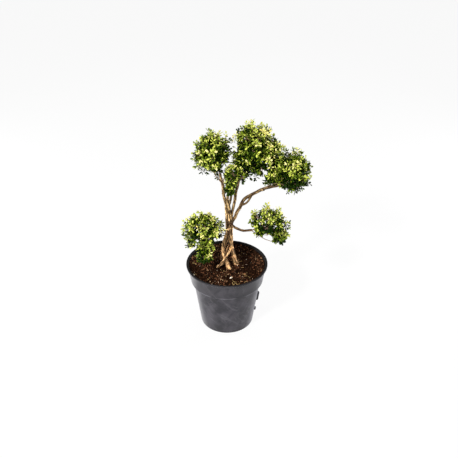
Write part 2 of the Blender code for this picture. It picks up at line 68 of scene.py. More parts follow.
def applyPlace(piece):
    pick(piece)
    bpy.ops.object.transform_apply(location=True, rotation=True, scale=True)


def applyAll(piece):
    pick(piece)
    for step in list(piece.modifiers):
        bpy.ops.object.modifier_apply(modifier=step.name)


def combine(piece, other, operation):
    # cuts the other piece out of this one, or welds it on, and clears it away
    step = piece.modifiers.new("Combine", "BOOLEAN")
    step.operation, step.object, step.solver = operation, other, "EXACT"
    applyAll(piece)
    bpy.data.objects.remove(other)


def editStart(piece, mode="VERT"):
    pick(piece)
    bpy.ops.object.mode_set(mode="EDIT")
    bpy.ops.mesh.select_mode(type=mode)
    bpy.ops.mesh.select_all(action="SELECT")


def editEnd():
    bpy.ops.object.mode_set(mode="OBJECT")


def addDisc(name, sides, radius, height):
    deselectAll()
    place = (0, 0, height)
    bpy.ops.mesh.primitive_circle_add(vertices=sides, radius=radius, fill_type="NGON", location=place)
    return justAdded(name)


def drawRings(rows):
    # the selected disc's rim goes on from one radius and height to the next, and the last ring is closed
    bpy.ops.mesh.region_to_loop()
    for before, here in zip(rows, rows[1:]):
        bpy.ops.mesh.extrude_edges_move(TRANSFORM_OT_translate={"value": (0, 0, here[1] - before[1])})
        scale = here[0] / before[0]
        bpy.ops.transform.resize(value=(scale, scale, 1), center_override=(0, 0, here[1]))
    bpy.ops.mesh.edge_face_add()
    bpy.ops.mesh.select_all(action="SELECT")
    bpy.ops.mesh.normals_make_consistent(inside=False)
    editEnd()


def pickVerts(piece, rule):
    # selects the vertices that the rule keeps, from edit mode and back into it
    bpy.ops.mesh.select_all(action="DESELECT")
    bpy.ops.object.mode_set(mode="OBJECT")
    for vertex in piece.data.vertices:
        vertex.select = rule(vertex.co)
    bpy.ops.object.mode_set(mode="EDIT")


def pipesOf(name, paths, resolution=1):
    # every path as one bevelled curve, turned into a mesh with closed ends
    line = bpy.data.curves.new(name, "CURVE")
    line.dimensions, line.fill_mode, line.use_fill_caps = "3D", "FULL", True
    line.bevel_depth, line.bevel_resolution = 1.0, resolution
    for points, sizes in paths:
        spline = line.splines.new("POLY")
        spline.points.add(len(points) - 1)
        places = np.hstack([np.asarray(points, float), np.ones((len(points), 1))])
        spline.points.foreach_set("co", places.ravel())
        spline.points.foreach_set("radius", np.asarray(sizes, float))
    made = bpy.data.objects.new(name, line)
    sceneNow.collection.objects.link(made)
    pick(made)
    bpy.ops.object.convert(target="MESH")
    return justAdded(name)


def markPiece(piece, label, domain, values):
    # a number for each point or face, which its finish reads
    mark = piece.data.attributes.new(label, "FLOAT", domain)
    mark.data.foreach_set("value", np.asarray(values, np.float32))


def cornersOf(mesh):
    corners = np.empty(len(mesh.loops), np.int32)
    mesh.loops.foreach_get("vertex_index", corners)
    return corners


def wrapPiece(mesh, label, places):
    # a UV layer from the place that each point has on the wrap
    mesh.uv_layers.new(name=label).data.foreach_set("uv", places[cornersOf(mesh)].astype(np.float32).ravel())


def asPoints(points):
    return np.asarray(points, float).reshape(-1, 3)


def inBatches(count, size=4000):
    # spans of a long list, so that the tables made from it stay small
    return [slice(first, first + size) for first in range(0, count, size)]


def noiseAt(spots):
    return np.array([noise.noise(spot) for spot in spots])


def randomVector(rule, reach=1.0):
    return Vector([rule.uniform(-reach, reach) for _ in range(3)])


def finishPiece(piece, finish, slotName, *stoodFor):
    piece.data.materials.clear()
    piece.data.materials.append(finish)
    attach(piece, "root")
    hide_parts(*stoodFor)
    return piece


# node tools and shared effects

def addNode(tree, kind, inputs=None, **settings):
    # an input is a socket to link, a number, or a colour
    node = tree.nodes.new("ShaderNode" + kind)
    for key, value in settings.items():
        setattr(node, key, value)
    for key, value in (inputs or {}).items():
        socket = node.inputs[key]
        if isinstance(value, bpy.types.NodeSocket):
            tree.links.new(value, socket)
        elif socket.type == "RGBA":
            socket.default_value = (*value, 1)
        else:
            socket.default_value = value
    return node


def mixColours(tree, share, first, second, blend="MIX"):
    given = {0: share, 6: first, 7: second}
    return addNode(tree, "Mix", given, data_type="RGBA", blend_type=blend).outputs[2]


def remap(tree, value, given=(0.0, 1.0), wanted=(0.0, 1.0)):
    # stretches a value from one range to another and holds it at the ends
    ends = {"From Min": given[0], "From Max": given[1], "To Min": wanted[0], "To Max": wanted[1]}
    return addNode(tree, "MapRange", {"Value": value, **ends}).outputs["Result"]


def noiseOf(tree, place, size, detail, **more):
    given = {"Vector": place, "Scale": size, "Detail": detail}
    return addNode(tree, "TexNoise", {**given, **more}).outputs["Fac"]


def brighten(tree, colour, share):
    return addNode(tree, "VectorMath", {0: colour, "Scale": share}, operation="SCALE").outputs[0]


def maths(tree, operation, *values):
    return addNode(tree, "Math", dict(enumerate(values)), operation=operation).outputs[0]


def markOf(tree, label):
    return addNode(tree, "Attribute", attribute_name=label).outputs["Fac"]


def placeOf(tree):
    return addNode(tree, "TexCoord").outputs["Object"]


def heightOf(tree, place):
    return addNode(tree, "SeparateXYZ", {0: place}).outputs["Z"]


def rampOf(tree, value, stops):
    ramp = addNode(tree, "ValToRGB", {"Fac": value})
    band = ramp.color_ramp
    while len(band.elements) < len(stops):
        band.elements.new(0.5)
    for element, (place, tone) in zip(band.elements, stops):
        element.position = place
        element.color = (*tone, 1) if hasattr(tone, "__len__") else (tone, tone, tone, 1)
    return ramp.outputs["Color"]


def newGroup(name, sockets):
    group = bpy.data.node_groups.new(name, "ShaderNodeTree")
    for socketName, kind, value in sockets:
        socket = group.interface.new_socket(socketName, in_out="INPUT", socket_type="NodeSocket" + kind)
        if value is not None:
            socket.default_value = value
    for socketName, kind in (("Color", "Color"), ("Mask", "Float")):
        group.interface.new_socket(socketName, in_out="OUTPUT", socket_type="NodeSocket" + kind)
    return group, group.nodes.new("NodeGroupInput").outputs, group.nodes.new("NodeGroupOutput").inputs


def makeUnevenTone():
    # lightens and darkens a colour by noise
    group, given, out = newGroup("unevenTone", [
        ("Color", "Color", (0.5, 0.5, 0.5, 1)), ("Vector", "Vector", None), ("Scale", "Float", 60.0),
        ("Darkest", "Float", 0.6), ("Lightest", "Float", 1.3),
    ])
    broad = noiseOf(group, given["Vector"], given["Scale"], 5.0, Roughness=0.62)
    spread = remap(group, broad, (0.3, 0.7), (given["Darkest"], given["Lightest"]))
    group.links.new(brighten(group, given["Color"], spread), out["Color"])
    group.links.new(broad, out["Mask"])
    return group


def makeDustFilm():
    # a pale film that gathers in patches
    group, given, out = newGroup("dustFilm", [
        ("Color", "Color", (0.1, 0.1, 0.1, 1)), ("Dust", "Color", (0.4, 0.38, 0.35, 1)),
        ("Vector", "Vector", None), ("Scale", "Float", 20.0), ("Amount", "Float", 0.4),
    ])
    patches = noiseOf(group, given["Vector"], given["Scale"], 6.0, Roughness=0.6)
    strong = remap(group, patches, (0.38, 0.68), (0.0, given["Amount"]))
    group.links.new(mixColours(group, strong, given["Color"], given["Dust"]), out["Color"])
    group.links.new(strong, out["Mask"])
    return group


unevenTone = makeUnevenTone()
dustFilm = makeDustFilm()


def newFinish(name, roughness, gloss=0.5):
    finish = bpy.data.materials.new(name)
    finish.use_nodes = True
    shader = finish.node_tree.nodes["Principled BSDF"]
    shader.inputs["Roughness"].default_value = roughness
    shader.inputs["Specular IOR Level"].default_value = gloss
    return finish, finish.node_tree, shader


def addBump(tree, shader, height, strength, distance):
    bump = addNode(tree, "Bump", {"Height": height, "Strength": strength, "Distance": distance})
    tree.links.new(bump.outputs["Normal"], shader.inputs["Normal"])


# camera, light and floor

studio = dict(
    cameraPlace=(0.0059, -1.3266, 1.126), lookDown=31.69, lens=44.92, lookAt=(0.02, 0, 0.35),
    floorSize=14.0, floorTone=(0.80, 0.80, 0.80), floorGlow=0.92, skyPower=0.30,
    # each lamp: place, radius, watts, tone
    lamps=dict(
        key=((-1.40, -1.90, 2.1), 0.38, 104, (1.0, 0.985, 0.955)),
        fill=((1.9, -1.4, 1.2), 1.6, 12, (0.96, 0.98, 1.0)),
        back=((0.4, 1.7, 2.2), 1.2, 14, (1.0, 1.0, 1.0)),
        leftEdge=((-1.9, 0.75, 0.45), 0.8, 26, (0.98, 0.98, 1.0)),
        rightEdge=((1.9, 0.75, 0.45), 0.8, 30, (0.98, 0.98, 1.0)),
    ),
)

cameraTurn = (math.radians(90 - studio["lookDown"]), 0, 0)
bpy.ops.object.camera_add(location=studio["cameraPlace"], rotation=cameraTurn)
shotCamera = bpy.context.object
shotCamera.name = "shotCamera"
shotCamera.data.lens = studio["lens"]
shotCamera.data.sensor_width = 36
sceneNow.camera = shotCamera

for lampName, (place, size, watts, tone) in studio["lamps"].items():
    bpy.ops.object.light_add(type="AREA", radius=size, location=place)
    lamp = bpy.context.object
    lamp.name = lampName + "Lamp"
    lamp.data.shape = "DISK"
    lamp.data.energy = watts
    lamp.data.color = tone
    lamp.rotation_euler = (Vector(studio["lookAt"]) - Vector(place)).to_track_quat("-Z", "Y").to_euler()


def lightSky():
    # a white backdrop that lights the plant less than it shows
    world = bpy.data.worlds.new("studioWorld")
    sceneNow.world = world
    world.use_nodes = True
    tree = world.node_tree
    seen = addNode(tree, "LightPath").outputs["Is Camera Ray"]
    backdrop = tree.nodes["Background"]
    backdrop.inputs["Color"].default_value = (1, 1, 1, 1)
    tree.links.new(remap(tree, seen, wanted=(studio["skyPower"], 1.0)), backdrop.inputs["Strength"])


lightSky()
sceneNow.view_settings.view_transform = "Standard"


def paintFloor():
    # pale paper that is lit from below, as on a light table, so that shadows stay faint
    finish, tree, shader = newFinish("paleFloor", 0.75)
    shader.inputs["Base Color"].default_value = (*studio["floorTone"], 1)
    seen = addNode(tree, "LightPath").outputs["Is Camera Ray"]
    glow = addNode(tree, "Emission", {"Color": (1, 1, 1)})
    share = remap(tree, seen, wanted=(0.0, studio["floorGlow"]))
    both = addNode(tree, "MixShader", {0: share, 1: shader.outputs[0], 2: glow.outputs[0]})
    tree.links.new(both.outputs[0], tree.nodes["Material Output"].inputs["Surface"])
    return finish


deselectAll()
bpy.ops.mesh.primitive_plane_add(size=studio["floorSize"])
studioFloor = justAdded("studioFloor")
studioFloor.data.materials.append(paintFloor())
print("studio set")


# finishes

potLook = dict(
    plastic=(0.017, 0.016, 0.022), dust=(0.066, 0.062, 0.075), scuff=(0.125, 0.120, 0.136),
    # the pale edge tone is a painted sheen where the side turns from the eye, and the near-black tone after
    # it is the painted shade inside the pot and on its lip
    edge=(0.280, 0.280, 0.305), inside=(0.0014, 0.0010, 0.0009), dustSize=24.0, wipeSize=15.0,
    # the band: how dark, and the heights between which it starts
    band=0.72, bandStart=(0.1445, 0.1480),
    # a painted highlight along its lower edge: tone, height, half its width
    edgeHighlight=(0.200, 0.195, 0.225), edgeHighlightHeight=0.1457, edgeHighlightWidth=0.0012,
)


def slantedNoise(tree, place, lean, stretch):
    # noise drawn out along a slant, as a cloth leaves it
    turn = (0.0, math.radians(lean), 0.0)
    given = {"Vector": place, "Rotation": turn, "Scale": stretch}
    slant = addNode(tree, "Mapping", given, vector_type="TEXTURE")
    return noiseOf(tree, slant.outputs[0], potLook["wipeSize"], 5.0, Roughness=0.62, Distortion=1.6)


def paintPot():
    finish, tree, shader = newFinish("dustyPlastic", 0.42, 0.32)
    place = placeOf(tree)
    film = addNode(tree, "Group", node_tree=dustFilm, inputs={
        "Color": potLook["plastic"], "Dust": potLook["dust"], "Vector": place, "Scale": potLook["dustSize"],
        "Amount": 1.0})
    # a few wipes bare the plastic again, others smear the dust pale
    bare = remap(tree, slantedNoise(tree, place, 28, (0.8, 0.8, 3.0)), (0.52, 0.66), (0.0, 0.85))
    wiped = mixColours(tree, bare, film.outputs["Color"], potLook["plastic"])
    smear = remap(tree, slantedNoise(tree, place, -48, (0.45, 0.8, 2.2)), (0.56, 0.76), (0.0, 0.75))
    smeared = mixColours(tree, smear, wiped, potLook["scuff"])
    # the band is darker than the side below
    height = heightOf(tree, place)
    tone = brighten(tree, smeared, remap(tree, height, potLook["bandStart"], (1.0, potLook["band"])))
    # a painted highlight along the band's lower edge, broken into pieces by noise
    onEdge = maths(tree, "COMPARE", height, potLook["edgeHighlightHeight"], potLook["edgeHighlightWidth"])
    edgeHighlight = remap(tree, noiseOf(tree, place, 21.0, 3.0), (0.44, 0.62), (0.0, onEdge))
    tone = mixColours(tree, edgeHighlight, tone, potLook["edgeHighlight"])
    # painted sheen: the side is painted paler where it turns away from the eye
    turned = addNode(tree, "LayerWeight", {"Blend": 0.5}).outputs["Facing"]
    sheened = mixColours(tree, remap(tree, turned, (0.62, 1.0), (0.0, 0.85)), tone, potLook["edge"])
    # painted shade: the pot's inside and the top of its lip take the near-black tone, with a duller gloss
    potShade = markOf(tree, "potShade")
    tree.links.new(mixColours(tree, potShade, sheened, potLook["inside"]), shader.inputs["Base Color"])
    gloss = remap(tree, film.outputs["Mask"], wanted=(0.34, 0.58))
    tree.links.new(remap(tree, potShade, wanted=(gloss, 0.9)), shader.inputs["Roughness"])
    addBump(tree, shader, noiseOf(tree, place, 900.0, 3.0), 0.25, 0.0004)
    return finish


compostLook = dict(dark=(0.005, 0.0019, 0.0008), mid=(0.019, 0.0078, 0.0036), light=(0.085, 0.045, 0.026))


def paintCompost():
    finish, tree, shader = newFinish("barkCompost", 1.0, 0.0)
    place = placeOf(tree)
    grain = noiseOf(tree, place, 170.0, 6.0, Roughness=0.7)
    stops = zip((0.30, 0.52, 0.72), compostLook.values())
    tree.links.new(rampOf(tree, grain, list(stops)), shader.inputs["Base Color"])
    addBump(tree, shader, noiseOf(tree, place, 420.0, 5.0, Roughness=0.7), 0.9, 0.0025)
    return finish


def unevenColour(tree, colour, size, darkest, lightest):
    tone = addNode(tree, "Group", node_tree=unevenTone, inputs={
        "Color": colour, "Vector": placeOf(tree), "Scale": size, "Darkest": darkest, "Lightest": lightest})
    return tone.outputs["Color"], tone.outputs["Mask"]


def paintChips(name, tone, lightest):
    finish, tree, shader = newFinish(name, 0.85, 0.04)
    colour, mask = unevenColour(tree, tone, 260.0, 0.45, lightest)
    tree.links.new(brighten(tree, colour, markOf(tree, "chipTone")), shader.inputs["Base Color"])
    addBump(tree, shader, mask, 0.6, 0.001)
    return finish


barkLook = dict(pale=(0.98, 0.69, 0.40), tan=(0.47, 0.29, 0.125), furrow=(0.030, 0.009, 0.002),
                foot=(1.12, 0.98, 0.86), crown=(0.90, 0.92, 0.80), turnsGrey=(0.25, 0.40))


def paintBark():
    finish, tree, shader = newFinish("paleBark", 0.85, 0.2)
    along = addNode(tree, "UVMap", uv_map="barkWrap").outputs["UV"]

    def fibres(stretch, size, detail, roughness, distortion):
        drawn = addNode(tree, "Mapping", {"Vector": along, "Scale": (1.0, stretch, 1.0)})
        return noiseOf(tree, drawn.outputs[0], size, detail, Roughness=roughness, Distortion=distortion)

    fibre = fibres(0.16, 420.0, 6.0, 0.65, 0.4)
    blotch = fibres(0.38, 120.0, 4.0, 0.6, 0.6)
    tones = zip((0.28, 0.42, 0.60), (barkLook["furrow"], barkLook["tan"], barkLook["pale"]))
    tone = rampOf(tree, fibre, list(tones))
    patchy = rampOf(tree, blotch, [(0.36, 0.20), (0.49, 0.85), (0.60, 1.55)])
    shaded = mixColours(tree, 1.0, tone, patchy, "MULTIPLY")
    # painted shade: the bark is darker where its relief is low, in furrows and gullies
    furrowShaded = brighten(tree, shaded, remap(tree, markOf(tree, "barkHeight"), (0.05, 0.55), (0.18, 1.0)))
    # a limb's own painted shade, dark where two limbs meet; below 1 it draws the bark toward the dark furrow
    # colour, and above 1 it is painted light
    limbShade = markOf(tree, "limbShade")
    sunk = mixColours(tree, limbShade, barkLook["furrow"], furrowShaded)
    toned = brighten(tree, sunk, maths(tree, "MAXIMUM", limbShade, 1.0))
    # golden at the foot, greyer up in the boughs
    up = remap(tree, heightOf(tree, placeOf(tree)), barkLook["turnsGrey"])
    tint = mixColours(tree, up, barkLook["foot"], barkLook["crown"])
    tree.links.new(mixColours(tree, 1.0, toned, tint, "MULTIPLY"), shader.inputs["Base Color"])
    addBump(tree, shader, fibre, 0.7, 0.0012)
    return finish


leafTones = dict(
    # two base colours and the gloss
    Dark=((0.0025, 0.0120, 0.0002), (0.018, 0.048, 0.0008), 0.08),
    Mid=((0.046, 0.096, 0.0020), (0.180, 0.245, 0.0100), 0.18),
    Fresh=((0.310, 0.415, 0.042), (0.650, 0.700, 0.110), 0.28),
    Gold=((0.740, 0.570, 0.070), (0.960, 0.930, 0.360), 0.30),
)
leafLook = dict(
    matt=(0.36, 0.70), ribLift=1.4, ribWidth=(0.03, 0.10), ribShow=0.30,
    # the underside: its share of the blade's colour, and what is added
    underShare=0.8, underMore=(0.006, 0.007, 0.001),
)


def paintLeaf(kind):
    first, second, gloss = leafTones[kind]
    finish, tree, shader = newFinish("leaf" + kind, leafLook["matt"][0], gloss)
    blade = addNode(tree, "UVMap", uv_map="leafBlade").outputs["UV"]
    tone = mixColours(tree, markOf(tree, "leafTone"), first, second)
    # the midrib is a little paler than the blade, and the underside duller
    across = addNode(tree, "SeparateXYZ", {0: blade}).outputs["X"]
    fromRib = maths(tree, "ABSOLUTE", maths(tree, "SUBTRACT", across, 0.5))
    rib = remap(tree, fromRib, leafLook["ribWidth"], (leafLook["ribShow"], 0.0))
    ribbed = mixColours(tree, rib, tone, [min(1, v * leafLook["ribLift"]) for v in second])
    under = markOf(tree, "underside")
    dull = [v * leafLook["underShare"] + more for v, more in zip(second, leafLook["underMore"])]
    tree.links.new(mixColours(tree, under, ribbed, dull), shader.inputs["Base Color"])
    tree.links.new(remap(tree, under, wanted=leafLook["matt"]), shader.inputs["Roughness"])
    return finish


def paintTwig():
    finish, tree, shader = newFinish("youngTwig", 0.75)
    colour, mask = unevenColour(tree, (0.22, 0.135, 0.075), 220.0, 0.45, 1.5)
    tree.links.new(colour, shader.inputs["Base Color"])
    addBump(tree, shader, mask, 0.5, 0.0006)
    return finish


potFinish, compostFinish, barkFinish, twigFinish = paintPot(), paintCompost(), paintBark(), paintTwig()
leafFinishes = {kind: paintLeaf(kind) for kind in leafTones}
print("finishes mixed")


# pot

pot = dict(
    height=0.197, rimRadius=0.115, rimDepth=0.005, bandTop=0.1105, bandFoot=0.1035, bandHeight=0.053,
    bodyTop=0.0957, bodyFoot=0.0765, wall=0.0018, floor=0.003, sides=144, smoothTo=math.radians(32),
    holes=8, holeRadius=0.006, holeCircle=0.055,
    # each lug: height of its middle, length, how far it stands out
    lugs=dict(long=(0.078, 0.030, 0.0065), short=(0.031, 0.010, 0.0050)),
    lugWidth=0.006, lugSunk=0.0012, lugTop=(0.55, 0.80), lugRound=0.0009,
    # how dark the painted shade on the lip's front is, and where along y it turns fully dark
    lipFront=0.35, lipTurns=(-0.108, -0.070), lipDepth=0.002,
)
bandBottom = pot["height"] - pot["bandHeight"]


def bodyRadius(height):
    return pot["bodyFoot"] + (pot["bodyTop"] - pot["bodyFoot"]) * height / bandBottom


def innerRadius(height):
    if height <= bandBottom:
        return bodyRadius(height) - pot["wall"]
    share = (height - bandBottom) / pot["bandHeight"]
    return pot["bandFoot"] + (pot["bandTop"] - pot["bandFoot"]) * share - pot["wall"]


def makePot():
    foot, band, rim, top = pot["bodyFoot"], pot["bandFoot"], pot["rimRadius"], pot["height"]
    wall, floor, lipFoot = pot["wall"], pot["floor"], top - pot["rimDepth"]
    # radius and height, up the outside with its small rounds and back down the inside
    profile = [
        (foot - 0.0022, 0.0), (foot - 0.0006, 0.0006), (foot, 0.0022),
        (bodyRadius(bandBottom * 0.5), bandBottom * 0.5),
        (bodyRadius(bandBottom - 0.0012), bandBottom - 0.0012),
        (pot["bodyTop"] + 0.0012, bandBottom), (band - 0.0013, bandBottom + 0.0002),
        (band - 0.0003, bandBottom + 0.0008), (band, bandBottom + 0.0022),
        (band + 0.0002, bandBottom + 0.0050),
        (pot["bandTop"] - 0.0004, lipFoot - 0.0042), (pot["bandTop"] + 0.0006, lipFoot - 0.0012),
        (pot["bandTop"] + 0.0018, lipFoot - 0.0001), (rim - 0.0010, lipFoot + 0.0002),
        (rim - 0.0002, lipFoot + 0.0010), (rim, lipFoot + 0.0022), (rim - 0.0002, top - 0.0010),
        (rim - 0.0010, top - 0.0002), (rim - 0.0020, top), (innerRadius(top) + 0.0010, top - 0.0002),
        (innerRadius(top - 0.0015), top - 0.0015), (innerRadius(top * 0.86), top * 0.86),
        (innerRadius(bandBottom + wall), bandBottom + wall),
        (innerRadius(bandBottom) - wall / 2, bandBottom - wall / 2),
        (innerRadius(floor + 0.002), floor + 0.002), (innerRadius(floor) - 0.002, floor),
    ]
    # the underside stays, and its ring is drawn up round the pot and back down inside it
    made = addDisc("nurseryPot", pot["sides"], *profile[0])
    editStart(made, "EDGE")
    bpy.ops.mesh.flip_normals()
    drawRings(profile)
    return made


def makeLug(name, middle, length, proud):
    # a block drawn out to a rounded rib, its back sunk into the wall
    deselectAll()
    lean = math.atan2(pot["bodyTop"] - pot["bodyFoot"], bandBottom)
    wallAt, sunk, (acrossTop, alongTop) = bodyRadius(middle), pot["lugSunk"], pot["lugTop"]
    bpy.ops.mesh.primitive_cube_add(size=1, location=(wallAt + proud / 2 - sunk / 2, 0, middle))
    rib = justAdded(name)
    rib.scale = (proud + sunk, pot["lugWidth"], length)
    applyPlace(rib)
    editStart(rib)
    bpy.ops.mesh.subdivide(number_cuts=3)
    pickVerts(rib, lambda co: co.x > wallAt + proud * 0.9)
    bpy.ops.transform.resize(value=(1, acrossTop, alongTop), center_override=(wallAt, 0, middle))
    bpy.ops.mesh.select_all(action="SELECT")
    bpy.ops.transform.rotate(value=-lean, orient_axis="Y", center_override=(wallAt, 0, middle))
    editEnd()
    soft = rib.modifiers.new("Soft", "BEVEL")
    soft.width, soft.segments = pot["lugRound"], 3
    soft.limit_method, soft.angle_limit = "ANGLE", math.radians(35)
    applyAll(rib)
    return rib


def shadeShare(face):
    # painted shade: the inside and the top of the lip stay dark; the lip's front, where light falls on it, is
    # painted less dark
    middle = face.center
    if middle.z < pot["floor"] or middle.xy.length < pot["bodyFoot"] * 0.9:
        return 0.0
    if face.normal.xy.dot(middle.xy) < 0:
        return 1.0
    if face.normal.z > 0.5 and middle.z > pot["height"] - pot["lipDepth"]:
        return float(np.interp(middle.y, pot["lipTurns"], (pot["lipFront"], 1.0)))
    return 0.0


potPiece = makePot()
for hole in range(pot["holes"]):
    angle = math.tau * (hole + 0.5) / pot["holes"]
    place = (pot["holeCircle"] * math.cos(angle), pot["holeCircle"] * math.sin(angle), 0)
    deselectAll()
    bpy.ops.mesh.primitive_cylinder_add(vertices=24, radius=pot["holeRadius"], depth=0.02, location=place)
    combine(potPiece, justAdded("drill"), "DIFFERENCE")
for rib in [makeLug(name + "Lug", *size) for name, size in pot["lugs"].items()]:
    combine(potPiece, rib, "UNION")
pick(potPiece)
bpy.ops.object.shade_smooth_by_angle(angle=pot["smoothTo"])
markPiece(potPiece, "potShade", "FACE", [shadeShare(face) for face in potPiece.data.polygons])
finishPiece(potPiece, potFinish, "pot", "pot")
print("pot made:", len(potPiece.data.polygons), "faces")


# soil

soil = dict(
    top=0.183, crown=0.002, gap=0.0003, rings=56, sides=180, domeWidth=0.45, smoothTo=math.radians(60),
    # the bank against the wall: height, share of the radius that it takes, how hollow
    bank=(0.0105, 0.20, 1.5),
    # each roughness of the surface: height, size
    rough=dict(lumps=(0.0046, 0.011), crumbs=(0.0024, 0.0036)), roughMiddle=0.62,
)


def soilRows():
    # radius and height of each ring, up the wall and in over the surface
    wall, gap = pot["wall"], soil["gap"]
    rim = innerRadius(soil["top"]) - gap * 2
    bankHeight, bankShare, bankPower = soil["bank"]
    ground = soil["top"] - soil["crown"]
    rows = [
        (innerRadius(pot["floor"]) - gap * 2, pot["floor"] + gap),
        (innerRadius(bandBottom) - wall / 2 - gap * 2, bandBottom - wall / 2),
        (innerRadius(bandBottom + wall) - gap * 2, bandBottom + wall + gap),
        (rim, ground + bankHeight),
    ]
    for ring in range(1, soil["rings"]):
        share = 1 - ring / soil["rings"]
        dome = min(1.0, (1 - share) / soil["domeWidth"])
        bank = max(0.0, 1 - (1 - share) / bankShare) ** bankPower
        rows.append((rim * share, ground + 2 * soil["crown"] * dome + bankHeight * bank))
    return rows, rim, ground


def makeSoil():
    rows, rim, ground = soilRows()
    made = addDisc("soilBed", soil["sides"], *rows[0])
    applyPlace(made)
    editStart(made, "EDGE")
    drawRings(rows)
    surface = made.vertex_groups.new(name="surface")
    onTop = [v.index for v in made.data.vertices if v.co.z > ground - 0.001 and v.co.xy.length < rim - 0.001]
    surface.add(onTop, 1.0, "REPLACE")
    for label, (strength, size) in soil["rough"].items():
        clouds = bpy.data.textures.new(label, "CLOUDS")
        clouds.noise_scale, clouds.noise_depth = size, 2
        push = made.modifiers.new(label, "DISPLACE")
        push.texture, push.strength, push.direction, push.vertex_group = clouds, strength, "Z", "surface"
        push.mid_level, push.texture_coords = soil["roughMiddle"], "LOCAL"
    applyAll(made)
    bpy.ops.object.shade_smooth_by_angle(angle=soil["smoothTo"])
    return made


soilPiece = makeSoil()
soilTree = BVHTree.FromObject(soilPiece, bpy.context.evaluated_depsgraph_get())
finishPiece(soilPiece, compostFinish, "soil", "soil")


def soilHeight(x, y):
    hit = soilTree.ray_cast(Vector((x, y, 0.3)), Vector((0, 0, -1)))
    return (hit[0].z, hit[1]) if hit[0] else (soil["top"], Vector((0, 0, 1)))


# many copies of one small piece

def shapeOf(piece):
    # points and faces of a small piece, which is cleared away
    shape = np.array([v.co for v in piece.data.vertices]), [tuple(p.vertices) for p in piece.data.polygons]
    bpy.data.objects.remove(piece)
    return shape


def buildCopies(name, template, places):
    # every copy in one mesh: a place is three axes and an origin, and faces with three corners come first
    points, faces = template
    axes, origins = (np.array(part) for part in zip(*places))
    allPoints = (np.einsum("vi,nij->nvj", points, axes) + origins[:, None, :]).reshape(-1, 3)
    starts = (np.arange(len(places), dtype=np.int32) * len(points))[:, None, None]
    loops, sizes = [], []
    for corners in (3, 4):
        some = np.array([face for face in faces if len(face) == corners], np.int32)
        if len(some):
            loops.append((some[None] + starts).ravel())
            sizes.append(np.full(len(some) * len(places), corners, np.int32))
    mesh = bpy.data.meshes.new(name)
    loops, sizes = np.concatenate(loops), np.concatenate(sizes)
    mesh.vertices.add(len(allPoints))
    mesh.vertices.foreach_set("co", np.asarray(allPoints, np.float32).ravel())
    mesh.loops.add(len(loops))
    mesh.loops.foreach_set("vertex_index", loops)
    mesh.polygons.add(len(sizes))
    mesh.polygons.foreach_set("loop_start", np.concatenate([[0], np.cumsum(sizes)[:-1]]).astype(np.int32))
    mesh.update(calc_edges=True)
    mesh.validate()
    piece = bpy.data.objects.new(name, mesh)
    sceneNow.collection.objects.link(piece)
    return piece


# bark chips and straw on the soil

chips = dict(
    seed=5, spread=0.1092, tones=(0.35, 1.45), tilt=0.7, proud=0.06,
    # light kinds lie thinner in some patches: kinds, patch size, and between which noise values they fail
    light=("brown", "rust", "tan"), patchSize=26.0, patchEnds=(-0.35, 0.15),
    # a chip's width and height for its length
    widths=(0.6, 1.2), heights=(0.6, 1.3),
    # each kind: how many, length range, tone, lightest share
    kinds=dict(
        dark=(1900, (0.003, 0.0085), (0.012, 0.0045, 0.002), 2.0),
        brown=(650, (0.003, 0.0095), (0.062, 0.025, 0.012), 2.0),
        rust=(680, (0.0022, 0.0060), (0.185, 0.080, 0.038), 1.8),
        tan=(330, (0.0016, 0.0046), (0.420, 0.275, 0.150), 1.6),
        pale=(150, (0.0014, 0.0034), (0.860, 0.740, 0.580), 1.4),
    ),
    # single pieces that stand out: kind, place, length; they lie flatter and higher
    placed=[("pale", (0.0115, -0.0591), 0.0100), ("pale", (-0.0905, -0.0510), 0.0080),
            ("pale", (-0.0395, -0.0880), 0.0050), ("tan", (0.0040, -0.0420), 0.0090),
            ("dark", (0.0560, 0.0420), 0.0160), ("dark", (-0.0700, 0.0300), 0.0140),
            ("rust", (0.0500, -0.0400), 0.0095)],
    placedTilt=0.3, placedProud=0.22,
)


def chipTemplate():
    deselectAll()
    bpy.ops.mesh.primitive_ico_sphere_add(subdivisions=1, radius=0.5)
    chip = justAdded("chip")
    editStart(chip)
    bpy.ops.transform.resize(value=(1.0, 0.55, 0.30))
    pickVerts(chip, lambda co: co.x > 0.2)
    bpy.ops.transform.resize(value=(1.0, 0.6, 0.7))
    pickVerts(chip, lambda co: co.y > 0.1)
    bpy.ops.transform.translate(value=(0.12, 0.03, 0.04))
    editEnd()
    return shapeOf(chip)


def scatterChips():
    rule = random.Random(chips["seed"])
    template = chipTemplate()
    spread = chips["spread"]
    for kind, (count, lengths, tone, lightest) in chips["kinds"].items():
        places = []
        fixed = [(spot, length) for own, spot, length in chips["placed"] if own == kind]
        while len(places) < count:
            x, y = rule.uniform(-1, 1) * spread, rule.uniform(-1, 1) * spread
            length = rule.uniform(*lengths)
            if math.hypot(x, y) + length * 0.4 > spread:
                continue
            patch = noise.noise(Vector((x, y, 0)) * chips["patchSize"])
            if kind in chips["light"] and patch < rule.uniform(*chips["patchEnds"]):
                continue
            tilt, proud = chips["tilt"], chips["proud"]
            if len(places) < len(fixed):
                (x, y), length = fixed[len(places)]
                tilt, proud = tilt * chips["placedTilt"], chips["placedProud"]
            height, normal = soilHeight(x, y)
            up = (normal + randomVector(rule, tilt)).normalized()
            along = up.orthogonal().normalized()
            turn = rule.uniform(0, math.tau)
            forward = along * math.cos(turn) + up.cross(along) * math.sin(turn)
            side = up.cross(forward)
            width, thick = rule.uniform(*chips["widths"]), rule.uniform(*chips["heights"])
            axes = np.array([forward * length, side * length * width, up * length * thick])
            places.append((axes, np.array((x, y, height + length * proud))))
        piece = buildCopies(kind + "Chips", template, places)
        tones = [rule.uniform(*chips["tones"]) ** 2 for _ in places]
        tones[:len(fixed)] = [1.0] * len(fixed)
        markPiece(piece, "chipTone", "POINT", np.repeat(tones, len(template[0])))
        finishPiece(piece, paintChips(kind + "Chip", tone, lightest), "soil", "soil")


